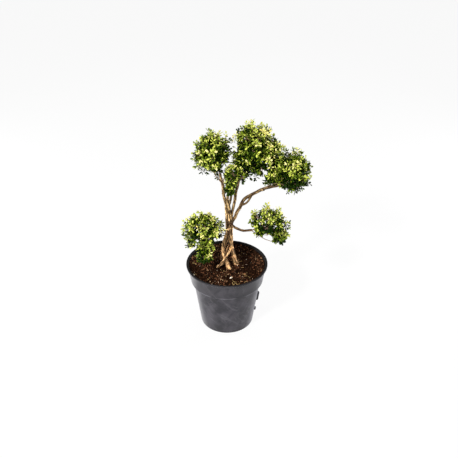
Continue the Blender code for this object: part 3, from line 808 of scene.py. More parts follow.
# dry grass and bark fibres on top
straw = dict(
    seed=9, count=34, lengths=(0.005, 0.011), thick=0.00042, thickness=(0.6, 1.4), bend=0.9, points=6,
    above=0.0014, tone=(0.50, 0.34, 0.14), lightest=1.6,
    # where some lie
    placed=[(0.0481, -0.0425), (0.0530, -0.0480), (0.0440, -0.0470), (0.0200, -0.0882), (0.0260, -0.0840),
            (-0.0018, -0.0471), (0.0560, -0.0360), (0.0620, -0.0530), (0.0150, -0.0800)],
)


def scatterStraw():
    rule = random.Random(straw["seed"])
    spots, spread = list(straw["placed"]), chips["spread"]
    while len(spots) < straw["count"]:
        x, y = rule.uniform(-1, 1) * spread, rule.uniform(-1, 1) * spread
        if math.hypot(x, y) < spread - straw["lengths"][1] * 0.75:
            spots.append((x, y))
    paths = []
    for x, y in spots:
        length, angle = rule.uniform(*straw["lengths"]), rule.uniform(0, math.tau)
        bend = rule.uniform(-1, 1) * straw["bend"]
        path = []
        for i in range(straw["points"]):
            share = i / (straw["points"] - 1) - 0.5
            way = angle + bend * share
            px, py = x + math.cos(way) * length * share, y + math.sin(way) * length * share
            path.append(Vector((px, py, soilHeight(px, py)[0] + straw["above"])))
        paths.append((path, [straw["thick"] * rule.uniform(*straw["thickness"])] * straw["points"]))
    piece = pipesOf("straw", paths)
    markPiece(piece, "chipTone", "POINT", np.ones(len(piece.data.vertices)))
    finishPiece(piece, paintChips("dryStraw", straw["tone"], straw["lightest"]), "soil", "soil")


scatterChips()
scatterStraw()
print("soil, chips and straw laid")


# limbs: the same rule as the frame's, followed in finer steps

trunk = dict(
    foot=Vector((0.0020, -0.0010, 0.1853)), fork=Vector((0.0070, 0.0000, 0.375)), footEase=4.0,
    bellyTop=0.62, footFlare=1.55, flareEase=7.0, tipEase=7.0, gap=0.0003, boughStep=0.008,
    # each strand: bearing, turn, swing, belly, reach at foot, waist and tip, radius, top
    strands=dict(
        front=(284, -100, 2.6, 0.0125, (0.0130, 0.0046, 0.0085), (0.0043, 0.0044), 1.0),
        thin=(194, 264, 1.0, 0.0065, (0.0285, 0.0078, 0.0065), (0.0026, 0.0032), 1.0),
        right=(24, -120, 1.0, 0.0030, (0.0275, 0.0040, 0.0090), (0.0048, 0.0044), 1.0),
        back=(118, 246, 1.0, 0.0040, (0.0240, 0.0052, 0.0105), (0.0046, 0.0040), 1.0),
        side=(146, -148, 1.3, 0.0060, (0.0180, 0.0035, 0.0140), (0.0042, 0.0042), 0.82),
    ),
    # each collar: start, leave, end, arrive, pull, radius
    collars=dict(
        lowRight=((0.0060, -0.0030, 0.3300), (0.50, -0.80, 0.20), (0.0190, -0.0125, 0.3225),
                  (0.78, -0.15, -0.60), (0.006, 0.006), (0.0040, 0.0037)),
        lowLeft=((0.0150, -0.0020, 0.3220), (0.10, -1.00, -0.20), (-0.0075, -0.0130, 0.3110),
                 (-0.98, 0.10, -0.05), (0.012, 0.012), (0.0030, 0.0027)),
    ),
)

# each bough: root, end, arrive, pull, radius, sway
boughs = dict(
    left=("front", (-0.0170, 0.0000, 0.4725), (-0.37, -0.20, 1.30), (0.006, 0.008), (0.0046, 0.0036),
          (0.0020, 2.0)),
    fork=("right", (0.0045, -0.0130, 0.4240), (0.30, -0.05, 0.95), (0.020, 0.015), (0.0044, 0.0034),
          (0.0006, 1.0)),
    back=("thin", (0.0320, 0.0200, 0.4690), (0.77, 0.31, 0.40), (0.006, 0.008), (0.0034, 0.0026),
          (0.0028, 1.4)),
    top=("back", (0.0405, 0.0130, 0.4620), (0.70, 0.05, 0.94), (0.058, 0.028), (0.0042, 0.0034),
         (0.0010, 2.2)),
    right=("side", (0.1380, -0.0180, 0.4515), (1.43, -0.70, 0.69), (0.048, 0.122), (0.0047, 0.0042),
           (0.0018, 2.5)),
    lowRight=("lowRight", (0.0655, -0.0260, 0.3195), (0.93, -0.20, 0.31), (0.018, 0.018), (0.0036, 0.0030),
              (0.0008, 1.5)),
    lowLeft=("lowLeft", (-0.0215, -0.0185, 0.3120), (-0.94, -0.32, 0.10), (0.004, 0.004), (0.0026, 0.0022),
             (0.0, 1.0)),
)
boughNodes = dict(left="bough_left", fork="bough_fork", back="bough_back", top="bough_top",
                  right="bough_right", lowRight="bough_low_right", lowLeft="bough_low_left")
twin = dict(bough="right", leaves=0.33, rejoins=0.68, bow=0.0112, radius=0.0028,
            side=Vector((0.66, -0.25, -0.71)), steps=9, ease=1.5)


def bezierPath(start, leave, end, arrive, pull, steps):
    a, d = Vector(start), Vector(end)
    b = a + Vector(leave).normalized() * pull[0]
    c = d - Vector(arrive).normalized() * pull[1]
    found = []
    for i in range(steps + 1):
        t = i / steps
        u = 1 - t
        found.append(a * u**3 + b * 3 * u * u * t + c * 3 * u * t * t + d * t**3)
    return found


def taper(first, last, steps):
    return [first + (last - first) * i / steps for i in range(steps + 1)]


def endWay(path):
    return (path[-1] - path[-2]).normalized()


def strandPoint(name, share):
    bearing, turn, swing, belly, (foot, waist, tip), (lowRadius, highRadius), top = trunk["strands"][name]
    axis = trunk["foot"].lerp(trunk["fork"], share * top)
    reach = waist + (foot - waist) * (1 - share) ** trunk["footEase"]
    reach += (tip - waist) * share ** trunk["tipEase"]
    if share < trunk["bellyTop"]:
        reach += belly * math.sin(math.pi * share / trunk["bellyTop"]) ** 2
    angle = math.radians(bearing + turn * (1 - (1 - share) ** swing))
    radius = lowRadius + (highRadius - lowRadius) * share
    radius *= 1 + (trunk["footFlare"] - 1) * (1 - share) ** trunk["flareEase"]
    return axis + Vector((math.cos(angle), math.sin(angle), 0)) * reach, radius


def strandPath(name, steps=16):
    found = [strandPoint(name, i / steps) for i in range(steps + 1)]
    return [p for p, _ in found], [r for _, r in found]


def collarPath(name, steps=6):
    *way, radii = trunk["collars"][name]
    return bezierPath(*way, steps), taper(*radii, steps)


def rootOf(name):
    root = boughs[name][0]
    path = strandPath(root)[0] if root in trunk["strands"] else collarPath(root)[0]
    ahead = endWay(path)
    return path[-1] + ahead * trunk["gap"], ahead


def boughPath(name, finer=1):
    _, end, arrive, pull, radii, (far, waves) = boughs[name]
    start, leave = rootOf(name)
    steps = max(3, round((Vector(end) - start).length / trunk["boughStep"])) * finer
    path = bezierPath(start, leave, end, arrive, pull, steps)
    side = (Vector(end) - start).orthogonal().normalized()
    for i in range(1, steps):
        share = i / steps
        path[i] += side * far * math.sin(math.tau * waves * share) * math.sin(math.pi * share)
    return path, taper(*radii, steps)


def twinPath(finer=1):
    # the second strand, which leaves its bough and rejoins it
    path = boughPath(twin["bough"])[0]
    found = []
    for i in range(twin["steps"] * finer + 1):
        bowed = i / (twin["steps"] * finer)
        along = (twin["leaves"] + (twin["rejoins"] - twin["leaves"]) * bowed) * (len(path) - 1)
        here = path[int(along)].lerp(path[int(along) + 1], along % 1)
        found.append(here + twin["side"] * twin["bow"] * math.sin(math.pi * bowed) ** twin["ease"])
    return found


def limbSegments():
    # every limb in the frame's own steps: where each one starts and ends, and its radius
    paths = [strandPath(name) for name in trunk["strands"]]
    paths += [collarPath(name) for name in trunk["collars"]]
    paths += [boughPath(name) for name in boughs]
    paths.append((twinPath(), [twin["radius"]] * (twin["steps"] + 1)))
    steps = [step for path, sizes in paths for step in zip(path, path[1:], sizes)]
    return [np.array(part) for part in zip(*steps)]


limbStarts, limbEnds, limbRadii = limbSegments()


def limbClearance(points):
    # how far each point is from the nearest limb's bark
    points = asPoints(points)
    along = limbEnds - limbStarts
    lengths = (along ** 2).sum(1)
    nearest = np.empty(len(points))
    for span in inBatches(len(points)):
        some = points[span, None, :] - limbStarts[None]
        share = np.clip((some * along[None]).sum(2) / lengths, 0, 1)
        away = np.sqrt(((some - along[None] * share[..., None]) ** 2).sum(2)) - limbRadii
        nearest[span] = away.min(1)
    return nearest


# bark: every limb as one skin with its furrows drawn in the mesh

bark = dict(
    voxel=0.00078, step=0.0016, ease=(0.5, 2),
    # how many steps a strand and a collar take, and how much finer than the frame a bough and the twin are
    strandSteps=120, collarSteps=24, finer=5, twinFiner=4,
    # the feet go on down under the chips, and the boughs a little past their ends: how far, thickness
    footOn=(0.004, 1.12), endOn=(0.002, 0.95),
    wobble=0.16, wobbleSize=70.0, kink=0.0015, kinkSize=44.0, holdEnds=6,
    # what keeps one limb's kinks, swellings and furrows from being the next one's
    kinkShift=7.3, wobbleShift=5.1, furrowShift=0.37, twinSeed=40, kinkSeed=7,
    # furrows, fine grain and knobs: how dense, what share each has in the relief, how sharp, how deep
    furrowAround=520.0, furrowAlong=75.0, fineAround=1300.0, fineAlong=190.0, knobSize=180.0,
    relief=(0.62, 0.22, 0.16), sharp=2.2, level=0.25, furrow=0.00075, fullRadius=0.0035,
    # painted shade where limbs meet, on the bark between them: from how near, and how much it has to face the
    # other
    crevice=0.0080, creviceFacing=(1.4, 0.5), near=0.012,
    # gullies that wind round each limb: how many, radians a metre, wander, width, depth, and the darkness of
    # their painted shade
    gullies=3, gullyTwist=95.0, gullyWander=2.4, gullyWidth=0.55, gullyDepth=0.70, gullyShade=0.04,
    # where they widen into the hollows of the braid, which take a painted shade: middle, reach
    hollows=[((0.0086, -0.012, 0.331), 0.011), ((0.0092, -0.012, 0.300), 0.013),
             ((0.0085, -0.012, 0.3675), 0.008), ((-0.0078, -0.020, 0.2647), 0.010)],
    hollowWidth=2.4, hollowEdge=1.6,
    # how light each limb is, and over what share of a bough the shade below it fades
    shades=dict(front=1.45, thin=1.95, right=1.45, back=0.70, side=1.00, leftBough=0.66, forkBough=0.66,
                topBough=0.60, backBough=0.80, rightBough=0.36, lowRightBough=0.30, lowLeftBough=1.20,
                lowRight=0.45, lowLeft=1.50, twin=0.40, stub=0.50),
    fade=0.3,
    # pruned stubs: bough, share along it, direction, length, radius
    stubs=[("top", 0.60, (-0.85, -0.30, 0.25), 0.013, 0.0016),
           ("right", 0.83, (0.15, -0.55, -0.75), 0.005, 0.0046),
           ("left", 0.45, (-0.8, -0.5, 0.3), 0.006, 0.0018),
           ("right", 0.52, (-0.3, -0.6, 0.6), 0.006, 0.0022),
           ("left", 0.80, (0.7, -0.6, 0.4), 0.007, 0.0014),
           ("lowRight", 0.45, (0.2, -0.6, 0.7), 0.005, 0.0013)],
    # a stub's thickness along it
    stubTaper=((0, 1.35), (0.35, 1.1), (0.7, 1.0), (0.92, 0.95), (1.0, 0.7)),
)


def livelyPath(path, sizes, seed):
    # small kinks and swellings, which a living stem has
    found, radii = [], []
    for i, (here, radius) in enumerate(zip(path, sizes)):
        share = i / (len(path) - 1)
        hold = min(1.0, share * bark["holdEnds"], (1 - share) * bark["holdEnds"])
        spot = here * bark["kinkSize"] + Vector((seed * bark["kinkShift"], 0, 0))
        found.append(here + noise.noise_vector(spot) * bark["kink"] * hold)
        swell = noise.noise(here * bark["wobbleSize"] + Vector((0, seed * bark["wobbleShift"], 0)))
        radii.append(radius * (1 + bark["wobble"] * swell))
    return found, radii


def limbPaths():
    # every limb's line, radii and shades, and the run of limbs that it belongs to
    noise.seed_set(bark["kinkSeed"])
    paths = []
    shades = bark["shades"]
    footFar, footThick = bark["footOn"]
    endFar, endThick = bark["endOn"]
    for seed, (name, (root, *_)) in enumerate(boughs.items()):
        fromStrand = root in trunk["strands"]
        if fromStrand:
            low, lowSizes = strandPath(root, bark["strandSteps"])
        else:
            low, lowSizes = collarPath(root, bark["collarSteps"])
        high, highSizes = boughPath(name, bark["finer"])
        path, sizes = livelyPath(low + high[1:], lowSizes + highSizes[1:], seed)
        fade = len(high) * bark["fade"]
        tones = list(np.interp(np.arange(len(path)), (len(low) - fade, len(low) + fade),
                               (shades[root], shades[name + "Bough"])))
        if fromStrand:
            down = (path[0] - path[3]).normalized()
            path.insert(0, path[0] + Vector((down.x * 0.5, down.y * 0.5, -1)).normalized() * footFar)
            sizes.insert(0, sizes[0] * footThick)
            tones.insert(0, tones[0])
        path.append(path[-1] + endWay(path) * endFar)
        paths.append((path, sizes + [sizes[-1] * endThick], tones + [tones[-1]], name))
    path = twinPath(bark["twinFiner"])
    path, sizes = livelyPath(path, [twin["radius"]] * len(path), bark["twinSeed"])
    paths.append((path, sizes, [shades["twin"]] * len(path), "twin"))
    for name, share, direction, length, radius in bark["stubs"]:
        path = boughPath(name, bark["finer"])[0]
        here = path[round(share * (len(path) - 1))]
        out = Vector(direction).normalized()
        line = [here + out * length * along for along, _ in bark["stubTaper"]]
        sizes = [radius * thick for _, thick in bark["stubTaper"]]
        paths.append((line, sizes, [shades["stub"]] * len(line), name))
    return paths


def evenSteps(path, sizes, tones, step):
    # the same line with its points a fixed step apart
    points = np.array(path)
    lengths = np.concatenate([[0], np.cumsum(np.linalg.norm(np.diff(points, axis=0), axis=1))])
    places = np.linspace(0, lengths[-1], max(3, int(lengths[-1] / step) + 1))
    line = np.stack([np.interp(places, lengths, points[:, k]) for k in range(3)], 1)
    return line, np.interp(places, lengths, sizes), np.interp(places, lengths, tones)


def sidesOf(ahead):
    # a direction square to each step of a line, carried on from step to step without a twist
    side = [Vector(ahead[0]).orthogonal().normalized()]
    for way in ahead[1:]:
        way = Vector(way)
        side.append((side[-1] - way * side[-1].dot(way)).normalized())
    return np.array(side)


def nearestLine(points, normals, paths):
    # for each point of the skin: how far along and round its limb it is, the limb's radius and shade there,
    # and the room to the next limb
    best = np.full(len(points), 9.0)
    where = np.zeros((len(points), 4))
    names = sorted({run for *_, run in paths})
    runGaps, ownRun = np.full((len(names), len(points)), 9.0), np.zeros(len(points), int)
    facingTimes, facingMore = bark["creviceFacing"]
    for number, (line, sizes, tones, run) in enumerate(paths):
        ahead = np.gradient(line, axis=0)
        ahead /= np.linalg.norm(ahead, axis=1)[:, None]
        side = sidesOf(ahead)
        row = names.index(run)
        low, high = line.min(0) - bark["near"], line.max(0) + bark["near"]
        some = np.flatnonzero(((points > low) & (points < high)).all(1))
        for span in inBatches(len(some)):
            few = some[span]
            gaps = np.linalg.norm(points[few, None, :] - line[None], axis=2) - sizes[None]
            nearest = gaps.argmin(1)
            away = points[few] - line[nearest]
            forward = (away * ahead[nearest]).sum(1)
            across = np.cross(ahead[nearest], side[nearest])
            turn = np.arctan2((away * across).sum(1), (away * side[nearest]).sum(1))
            flat = np.sqrt(np.maximum((away ** 2).sum(1) - forward ** 2, 0)) - sizes[nearest]
            nearer = flat < best[few]
            # a neighbour's painted shade falls only on the bark that faces it
            facing = -(normals[few] * away).sum(1) / np.maximum(np.linalg.norm(away, axis=1), 1e-6)
            gap = flat + bark["crevice"] * (1 - np.clip(facing * facingTimes + facingMore, 0, 1))
            runGaps[row, few] = np.minimum(runGaps[row, few], gap)
            ownRun[few[nearer]] = row
            along = nearest * bark["step"] + number * bark["furrowShift"] + forward
            where[few[nearer]] = np.stack([along, turn, sizes[nearest], tones[nearest]], 1)[nearer]
            best[few[nearer]] = flat[nearer]
    runGaps[ownRun, np.arange(len(points))] = 9.0
    return where, runGaps.min(0)


def skinLimbs(paths):
    # the limbs as pipes, fused into one even skin
    made = pipesOf("trunkAndBoughs", [path[:2] for path in paths], 4)
    skin = made.modifiers.new("Skin", "REMESH")
    skin.mode, skin.voxel_size, skin.adaptivity = "VOXEL", bark["voxel"], 0.0
    ease = made.modifiers.new("Ease", "SMOOTH")
    ease.factor, ease.iterations = bark["ease"]
    applyAll(made)
    return made


def makeLimbs():
    paths = [(*evenSteps(path, sizes, tones, bark["step"]), run) for path, sizes, tones, run in limbPaths()]
    made = skinLimbs(paths)
    mesh = made.data
    points, normals = np.empty(len(mesh.vertices) * 3), np.empty(len(mesh.vertices) * 3)
    mesh.vertices.foreach_get("co", points)
    mesh.vertex_normals.foreach_get("vector", normals)
    points, normals = asPoints(points), asPoints(normals)
    where, room = nearestLine(points, normals, paths)
    along, turn, radius, shade = where.T

    # furrows
    ring = np.stack([np.cos(turn) * radius, np.sin(turn) * radius], 1)
    coarse = np.column_stack([ring * bark["furrowAround"], along * bark["furrowAlong"]])
    close = np.column_stack([ring * bark["fineAround"], along * bark["fineAlong"]]) + np.array((3, 9, 1))
    furrowed, grained, knobbly = bark["relief"]
    heights = furrowed * (1 - np.abs(noiseAt(coarse)) * bark["sharp"]) + grained * noiseAt(close)
    heights += knobbly * noiseAt(points * bark["knobSize"])

    # gullies, wider in the hollows
    stray = noiseAt(points * bark["kinkSize"]) * bark["gullyWander"]
    wave = np.abs(np.sin((turn * bark["gullies"] + along * bark["gullyTwist"]) / 2 + stray))
    sunk = np.zeros(len(points))
    for middle, reach in bark["hollows"]:
        away = np.linalg.norm(points - np.array(middle), axis=1)
        sunk = np.maximum(sunk, np.clip(bark["hollowEdge"] * (1 - away / reach), 0, 1))
    ridge = np.clip(wave / (bark["gullyWidth"] * (1 + bark["hollowWidth"] * sunk)), 0, 1)
    heights -= bark["gullyDepth"] * (1 - ridge)

    # thin limbs have shallower ones
    thin = np.minimum(1.0, radius / bark["fullRadius"])
    points += normals * ((heights - bark["level"]) * bark["furrow"] * thin)[:, None]
    mesh.vertices.foreach_set("co", points.ravel())
    # painted shade: darker where another limb is near and faces the bark, and in the gullies
    shade = shade * np.clip(room / bark["crevice"], 0, 1)
    shade *= bark["gullyShade"] + (1 - bark["gullyShade"]) * ridge
    markPiece(made, "barkHeight", "POINT", heights)
    markPiece(made, "limbShade", "POINT", shade)
    wrapPiece(mesh, "barkWrap", np.stack([turn * radius, along], 1))
    mesh.update()
    pick(made)
    bpy.ops.object.shade_smooth()
    return made


limbs = makeLimbs()
finishPiece(limbs, barkFinish, "bark", "trunk", *boughNodes.values())
print("limbs made:", len(limbs.data.polygons), "faces")


# foliage: arms and twigs by the frame's rule, then shoots and leaves by the same rule

# each mass: bough, seed, shoots to a twig, leaves on a twig, how far out leaves stand, where shoots fail,
# how much lighter it is, and its lobes
# each lobe: middle, half sizes, arms, twigs, where the arms spring
masses = dict(
    left=dict(node="foliage_left", bough="left", seed=11, shoots=14, inner=16, edge=1.16, thin=-0.45,
              bias=0.01, lobes=[((-0.0375, 0.0040, 0.5330), (0.048, 0.048, 0.054), 5, 18, 1.0)]),
    top=dict(node="foliage_top", bough="top", seed=23, shoots=14, inner=16, edge=1.16, thin=-0.45, bias=0.06,
             lobes=[((0.0695, 0.0260, 0.5470), (0.054, 0.053, 0.057), 5, 16, 1.0),
                    ((0.1020, 0.0220, 0.5130), (0.051, 0.048, 0.056), 4, 14, 0.5),
                    ((0.0485, 0.0220, 0.5015), (0.036, 0.038, 0.038), 2, 6, 1.0)]),
    right=dict(node="foliage_right", bough="right", seed=31, shoots=14, inner=16, edge=1.08, thin=-0.45,
               bias=-0.03, lobes=[((0.1680, -0.0220, 0.4900), (0.049, 0.050, 0.054), 5, 17, 1.0),
                                  ((0.1210, -0.0160, 0.4715), (0.027, 0.028, 0.022), 1, 6, 1.0)]),
    fork=dict(node="foliage_fork", bough="fork", seed=47, shoots=10, inner=7, edge=1.16, thin=-0.20,
              bias=0.10, lobes=[((0.0200, -0.0200, 0.4785), (0.032, 0.028, 0.029), 4, 10, 1.0),
                                ((0.0080, -0.0160, 0.4410), (0.018, 0.018, 0.020), 1, 4, 0.5)]),
    lowRight=dict(node="foliage_low_right", bough="lowRight", seed=53, shoots=9, inner=6, edge=1.12,
                  thin=-0.12, bias=0.12,
                  lobes=[((0.1090, -0.0340, 0.3490), (0.048, 0.046, 0.042), 5, 20, 1.0),
                         ((0.1400, -0.0400, 0.3080), (0.024, 0.024, 0.023), 1, 5, 0.25)]),
    lowLeft=dict(node="foliage_low_left", bough="lowLeft", seed=67, shoots=11, inner=9, edge=1.16,
                 thin=-0.26, bias=0.12,
                 lobes=[((-0.0650, -0.0360, 0.3280), (0.054, 0.049, 0.047), 5, 20, 1.0),
                        ((-0.0590, -0.0420, 0.2600), (0.028, 0.027, 0.036), 2, 7, 0.75)]),
)
growth = dict(
    stemShare=0.55, stemSteps=4, stemPull=(0.4, 0.3), armShare=0.56, armSteps=3, armPull=(0.3, 0.3),
    twigShares=(0.80, 0.74, 0.84, 0.60), twigStray=(0.95, 1.05), twigRoots=(0.1, 0.9), twigJitter=0.18,
    twigChecks=(0.25, 0.5, 0.75, 1.0), golden=math.radians(137.5),
    spaceEdge=1.08, spaceMargin=0.030, limbMargin=0.0020, potMargin=0.0025, armRadius=0.0022,
    twigRadius=0.0010,
    # finer shoots: how far out their tips come, where they leave a twig, and how they lean and bend upward
    shootShares=(0.82, 0.70, 0.92, 0.60, 0.76), shootStray=(0.94, 1.06), shootJitter=0.22,
    shootRoots=(0.25, 0.95), shootSteps=5, shootLean=0.6, shootLift=0.35, shootPull=0.35, shootRadius=0.0004,
    # how much nearer than its leaves a shoot keeps to the mass
    shootInside=0.06,
    # how much of a shoot's youth comes from how far out it is
    youngShare=0.55,
    sprigRoot=0.7, sprigLift=0.3, sprigPull=(0.3, 0.4), sprigEdge=1.50,
    leafMargin=-0.10, lump=0.30, lumpSize=2.6, thinSize=3.2,
    stemThick=(0.0021, 0.0016), armThick=(0.0015, 0.0010), twigThick=(0.00095, 0.0006),
    shootThick=(0.0006, 0.00032),
    # what a mass's own seed is multiplied by for its shoots and its leaves
    shootSeed=101, leafSeed=211,
)
leaf = dict(
    # half widths of the blade at five heights
    length=0.0110, width=0.0062, outline=((0.0, 0.0), (0.28, 0.66), (0.56, 1.0), (0.84, 0.74), (1.0, 0.0)),
    thickness=0.00025, cup=0.0009, droop=0.0014, sizes=(0.72, 1.15),
    # the two at a shoot's tip are young and small, and the next ones open more and more
    tipCount=2, tipSize=0.72, openAfter=4,
    count=9, bare=0.45, spread=(math.radians(22), math.radians(72)), spreadStray=0.2, stray=0.36, toSky=0.30,
)
# loose sprigs that stand out of the clipped outline: the point that each one's tip reaches
sprigs = dict(
    lowRight=[(0.163, -0.040, 0.352), (0.163, -0.047, 0.341), (0.165, -0.039, 0.311), (0.138, -0.018, 0.382),
              (0.108, -0.010, 0.390), (0.153, -0.046, 0.300), (0.067, -0.020, 0.371), (0.062, -0.034, 0.349),
              (0.067, -0.030, 0.375), (0.070, -0.030, 0.363), (0.076, -0.030, 0.383), (0.158, -0.040, 0.332),
              (0.163, -0.040, 0.351), (0.074, -0.030, 0.310), (0.083, -0.030, 0.304), (0.099, -0.030, 0.309),
              (0.110, -0.030, 0.309), (0.105, -0.020, 0.389)],
    lowLeft=[(-0.105, -0.062, 0.290), (-0.094, -0.062, 0.290), (-0.114, -0.043, 0.323),
             (-0.010, -0.026, 0.344), (-0.006, -0.036, 0.328), (-0.012, -0.046, 0.316),
             (-0.099, -0.055, 0.306), (-0.073, -0.012, 0.368), (-0.024, -0.030, 0.356),
             (-0.014, -0.025, 0.342), (-0.013, -0.025, 0.329), (-0.013, -0.022, 0.309),
             (-0.019, -0.022, 0.299), (-0.030, -0.030, 0.296), (-0.111, -0.035, 0.351),
             (-0.114, -0.035, 0.307), (-0.110, -0.035, 0.298), (-0.100, -0.040, 0.280),
             (-0.090, -0.045, 0.282), (-0.105, -0.040, 0.288)],
    left=[(-0.034, 0.020, 0.582), (-0.001, 0.018, 0.576), (-0.065, -0.016, 0.486), (-0.049, -0.017, 0.484),
          (-0.086, -0.006, 0.517), (-0.080, -0.013, 0.498), (-0.019, -0.015, 0.485), (-0.025, -0.010, 0.479),
          (-0.022, -0.008, 0.467), (-0.015, -0.008, 0.489), (-0.076, 0.0, 0.560), (-0.080, -0.010, 0.521),
          (-0.079, 0.0, 0.494), (0.006, 0.0, 0.568), (0.007, 0.0, 0.544), (-0.017, 0.010, 0.585),
          (-0.045, 0.020, 0.584), (-0.023, 0.0, 0.456)],
    top=[(0.105, 0.035, 0.579), (0.145, 0.024, 0.529), (0.022, 0.023, 0.537), (0.090, 0.039, 0.593),
         (0.027, 0.012, 0.478), (0.061, 0.002, 0.460), (0.074, 0.001, 0.455), (0.028, 0.020, 0.586),
         (0.038, 0.030, 0.588), (0.068, 0.035, 0.595), (0.111, 0.030, 0.585), (0.117, 0.030, 0.569),
         (0.119, 0.020, 0.559), (0.132, 0.020, 0.551), (0.140, 0.015, 0.543), (0.067, 0.0, 0.477),
         (0.080, 0.0, 0.471), (0.091, 0.005, 0.477), (0.098, 0.0, 0.484), (0.013, 0.010, 0.561),
         (0.013, 0.0, 0.513), (0.016, 0.005, 0.533)],
    right=[(0.156, -0.043, 0.443), (0.178, -0.045, 0.445), (0.212, -0.042, 0.465), (0.175, -0.002, 0.543),
           (0.188, -0.007, 0.537), (0.207, -0.021, 0.508), (0.091, -0.026, 0.457), (0.143, -0.010, 0.535),
           (0.150, -0.010, 0.543), (0.165, -0.010, 0.545), (0.177, -0.015, 0.548), (0.196, -0.030, 0.458),
           (0.177, -0.035, 0.442), (0.098, -0.020, 0.455), (0.103, -0.020, 0.450)],
    fork=[(0.004, -0.018, 0.435), (-0.001, -0.011, 0.452), (0.057, -0.021, 0.480), (0.014, -0.020, 0.431),
          (0.029, -0.025, 0.468), (-0.010, -0.015, 0.493), (-0.011, -0.015, 0.476), (-0.002, -0.010, 0.504),
          (0.034, -0.020, 0.458), (0.041, -0.020, 0.464)],
)
# bare twigs under a mass: how thick at both ends, and their way
bareTwigs = dict(
    lowRight=[((0.0014, 0.0009), [(0.067, -0.027, 0.318), (0.087, -0.034, 0.306), (0.103, -0.038, 0.298),
                                  (0.119, -0.040, 0.293), (0.133, -0.040, 0.302)])],
    right=[((0.0009, 0.0007), [(0.096, -0.020, 0.443), (0.106, -0.026, 0.453), (0.118, -0.032, 0.462),
                               (0.132, -0.038, 0.466), (0.145, -0.042, 0.464), (0.155, -0.044, 0.457)])],
    left=[((0.0021, 0.0010), [(-0.009, -0.001, 0.438), (-0.015, -0.006, 0.454), (-0.026, -0.010, 0.470),
                              (-0.035, -0.012, 0.488)]),
          ((0.0019, 0.0009), [(-0.010, -0.001, 0.444), (-0.008, -0.007, 0.462), (0.003, -0.008, 0.485)])],
)
# lines of sight from the front that leaves keep clear of: two ends, half width, and whether sky shows through
clearings = dict(
    fork=[((0.021, 0.004, 0.394), (0.040, 0.013, 0.462), 0.0045, False),
          ((-0.008, 0.0, 0.435), (-0.018, 0.0, 0.474), 0.0040, False)],
    left=[((-0.008, 0.0, 0.435), (-0.018, 0.0, 0.474), 0.0040, False)],
    right=[((0.098, -0.014, 0.439), (0.129, -0.017, 0.449), 0.0035, False),
           ((0.090, -0.016, 0.491), (0.101, -0.016, 0.483), 0.0042, True)],
    top=[((0.070, -0.010, 0.428), (0.129, -0.017, 0.449), 0.0040, False),
         ((0.090, -0.016, 0.491), (0.101, -0.016, 0.483), 0.0042, True),
         ((0.045, 0.025, 0.562), (0.046, 0.025, 0.562), 0.0030, True),
         ((0.021, 0.010, 0.553), (0.023, 0.010, 0.534), 0.0028, True)],
    lowRight=[((0.098, -0.034, 0.298), (0.116, -0.038, 0.299), 0.0046, True),
              ((0.100, -0.034, 0.306), (0.113, -0.038, 0.307), 0.0044, True),
              ((0.084, -0.034, 0.346), (0.089, -0.034, 0.341), 0.0026, True),
              ((0.098, -0.034, 0.372), (0.098, -0.034, 0.371), 0.0024, True)],
    lowLeft=[((-0.092, -0.036, 0.335), (-0.091, -0.036, 0.334), 0.0028, True),
             ((-0.103, -0.036, 0.325), (-0.102, -0.036, 0.325), 0.0028, True),
             ((-0.081, -0.040, 0.296), (-0.079, -0.040, 0.293), 0.0046, True),
             ((-0.046, -0.040, 0.303), (-0.045, -0.040, 0.300), 0.0038, True),
             ((-0.031, -0.038, 0.296), (-0.030, -0.038, 0.294), 0.0038, True),
             ((-0.015, -0.036, 0.298), (-0.015, -0.036, 0.296), 0.0034, True)],
)
# how far behind a limb a leaf has to be to stay
hiddenBehind = 0.004


def depthIn(points, name):
    # how far out of a mass's lobes each point is: 0 at a lobe's middle, 1 on its skin
    points = asPoints(points)
    depths = []
    for middle, half, *_ in masses[name]["lobes"]:
        depths.append(np.sqrt((((points - np.array(middle)) / np.array(half)) ** 2).sum(1)))
    return np.min(depths, 0)


def freeThere(points, radius, name, edge=growth["spaceEdge"], margin=growth["spaceMargin"]):
    # true in a mass's own space, above pot and soil, and clear of the limbs
    points = asPoints(points)
    own = depthIn(points, name)
    free = own <= edge
    for other in masses:
        if other != name:
            free &= depthIn(points, other) >= own + margin
    beside = np.hypot(points[:, 0], points[:, 1]) > innerRadius(pot["height"]) - growth["potMargin"]
    ground = np.where(beside, pot["height"], soil["top"] + soil["crown"])
    free &= points[:, 2] > ground + growth["potMargin"]
    return free & (limbClearance(points) > growth["limbMargin"] + radius)


def outOfSight(points, name):
    # true where a leaf would hide a limb, or a gap, that shows from the front
    points = asPoints(points)
    eye = np.array(studio["cameraPlace"])
    hidden = np.zeros(len(points), bool)
    reach = np.linalg.norm(points - eye, axis=1)
    sight = (points - eye) / reach[:, None]
    for first, last, halfWidth, through in clearings.get(name, []):
        first, span = np.array(first), np.array(last) - np.array(first)
        toFirst = eye - first
        across = sight @ span
        spread = np.maximum(span @ span - across ** 2, 1e-12)
        share = np.clip((span @ toFirst - across * (sight @ toFirst)) / spread, 0, 1)
        nearest = first + span * share[:, None]
        depth = ((nearest - eye) * sight).sum(1)
        away = np.linalg.norm(nearest - eye - sight * depth[:, None], axis=1)
        hidden |= (away < halfWidth) & (through | (reach < depth + hiddenBehind))
    return hidden


def evenDirections(count, spin):
    found = []
    for k in range(count):
        height = 1 - 2 * (k + 0.5) / count
        flat = math.sqrt(1 - height * height)
        angle = spin + growth["golden"] * k
        found.append(Vector((flat * math.cos(angle), flat * math.sin(angle), height)))
    return found


def onLobe(lobe, direction, share):
    return Vector([lobe[0][i] + direction[i] * lobe[1][i] * share for i in range(3)])


def strayFrom(direction, rule, jitter):
    return (direction + randomVector(rule) * jitter).normalized()


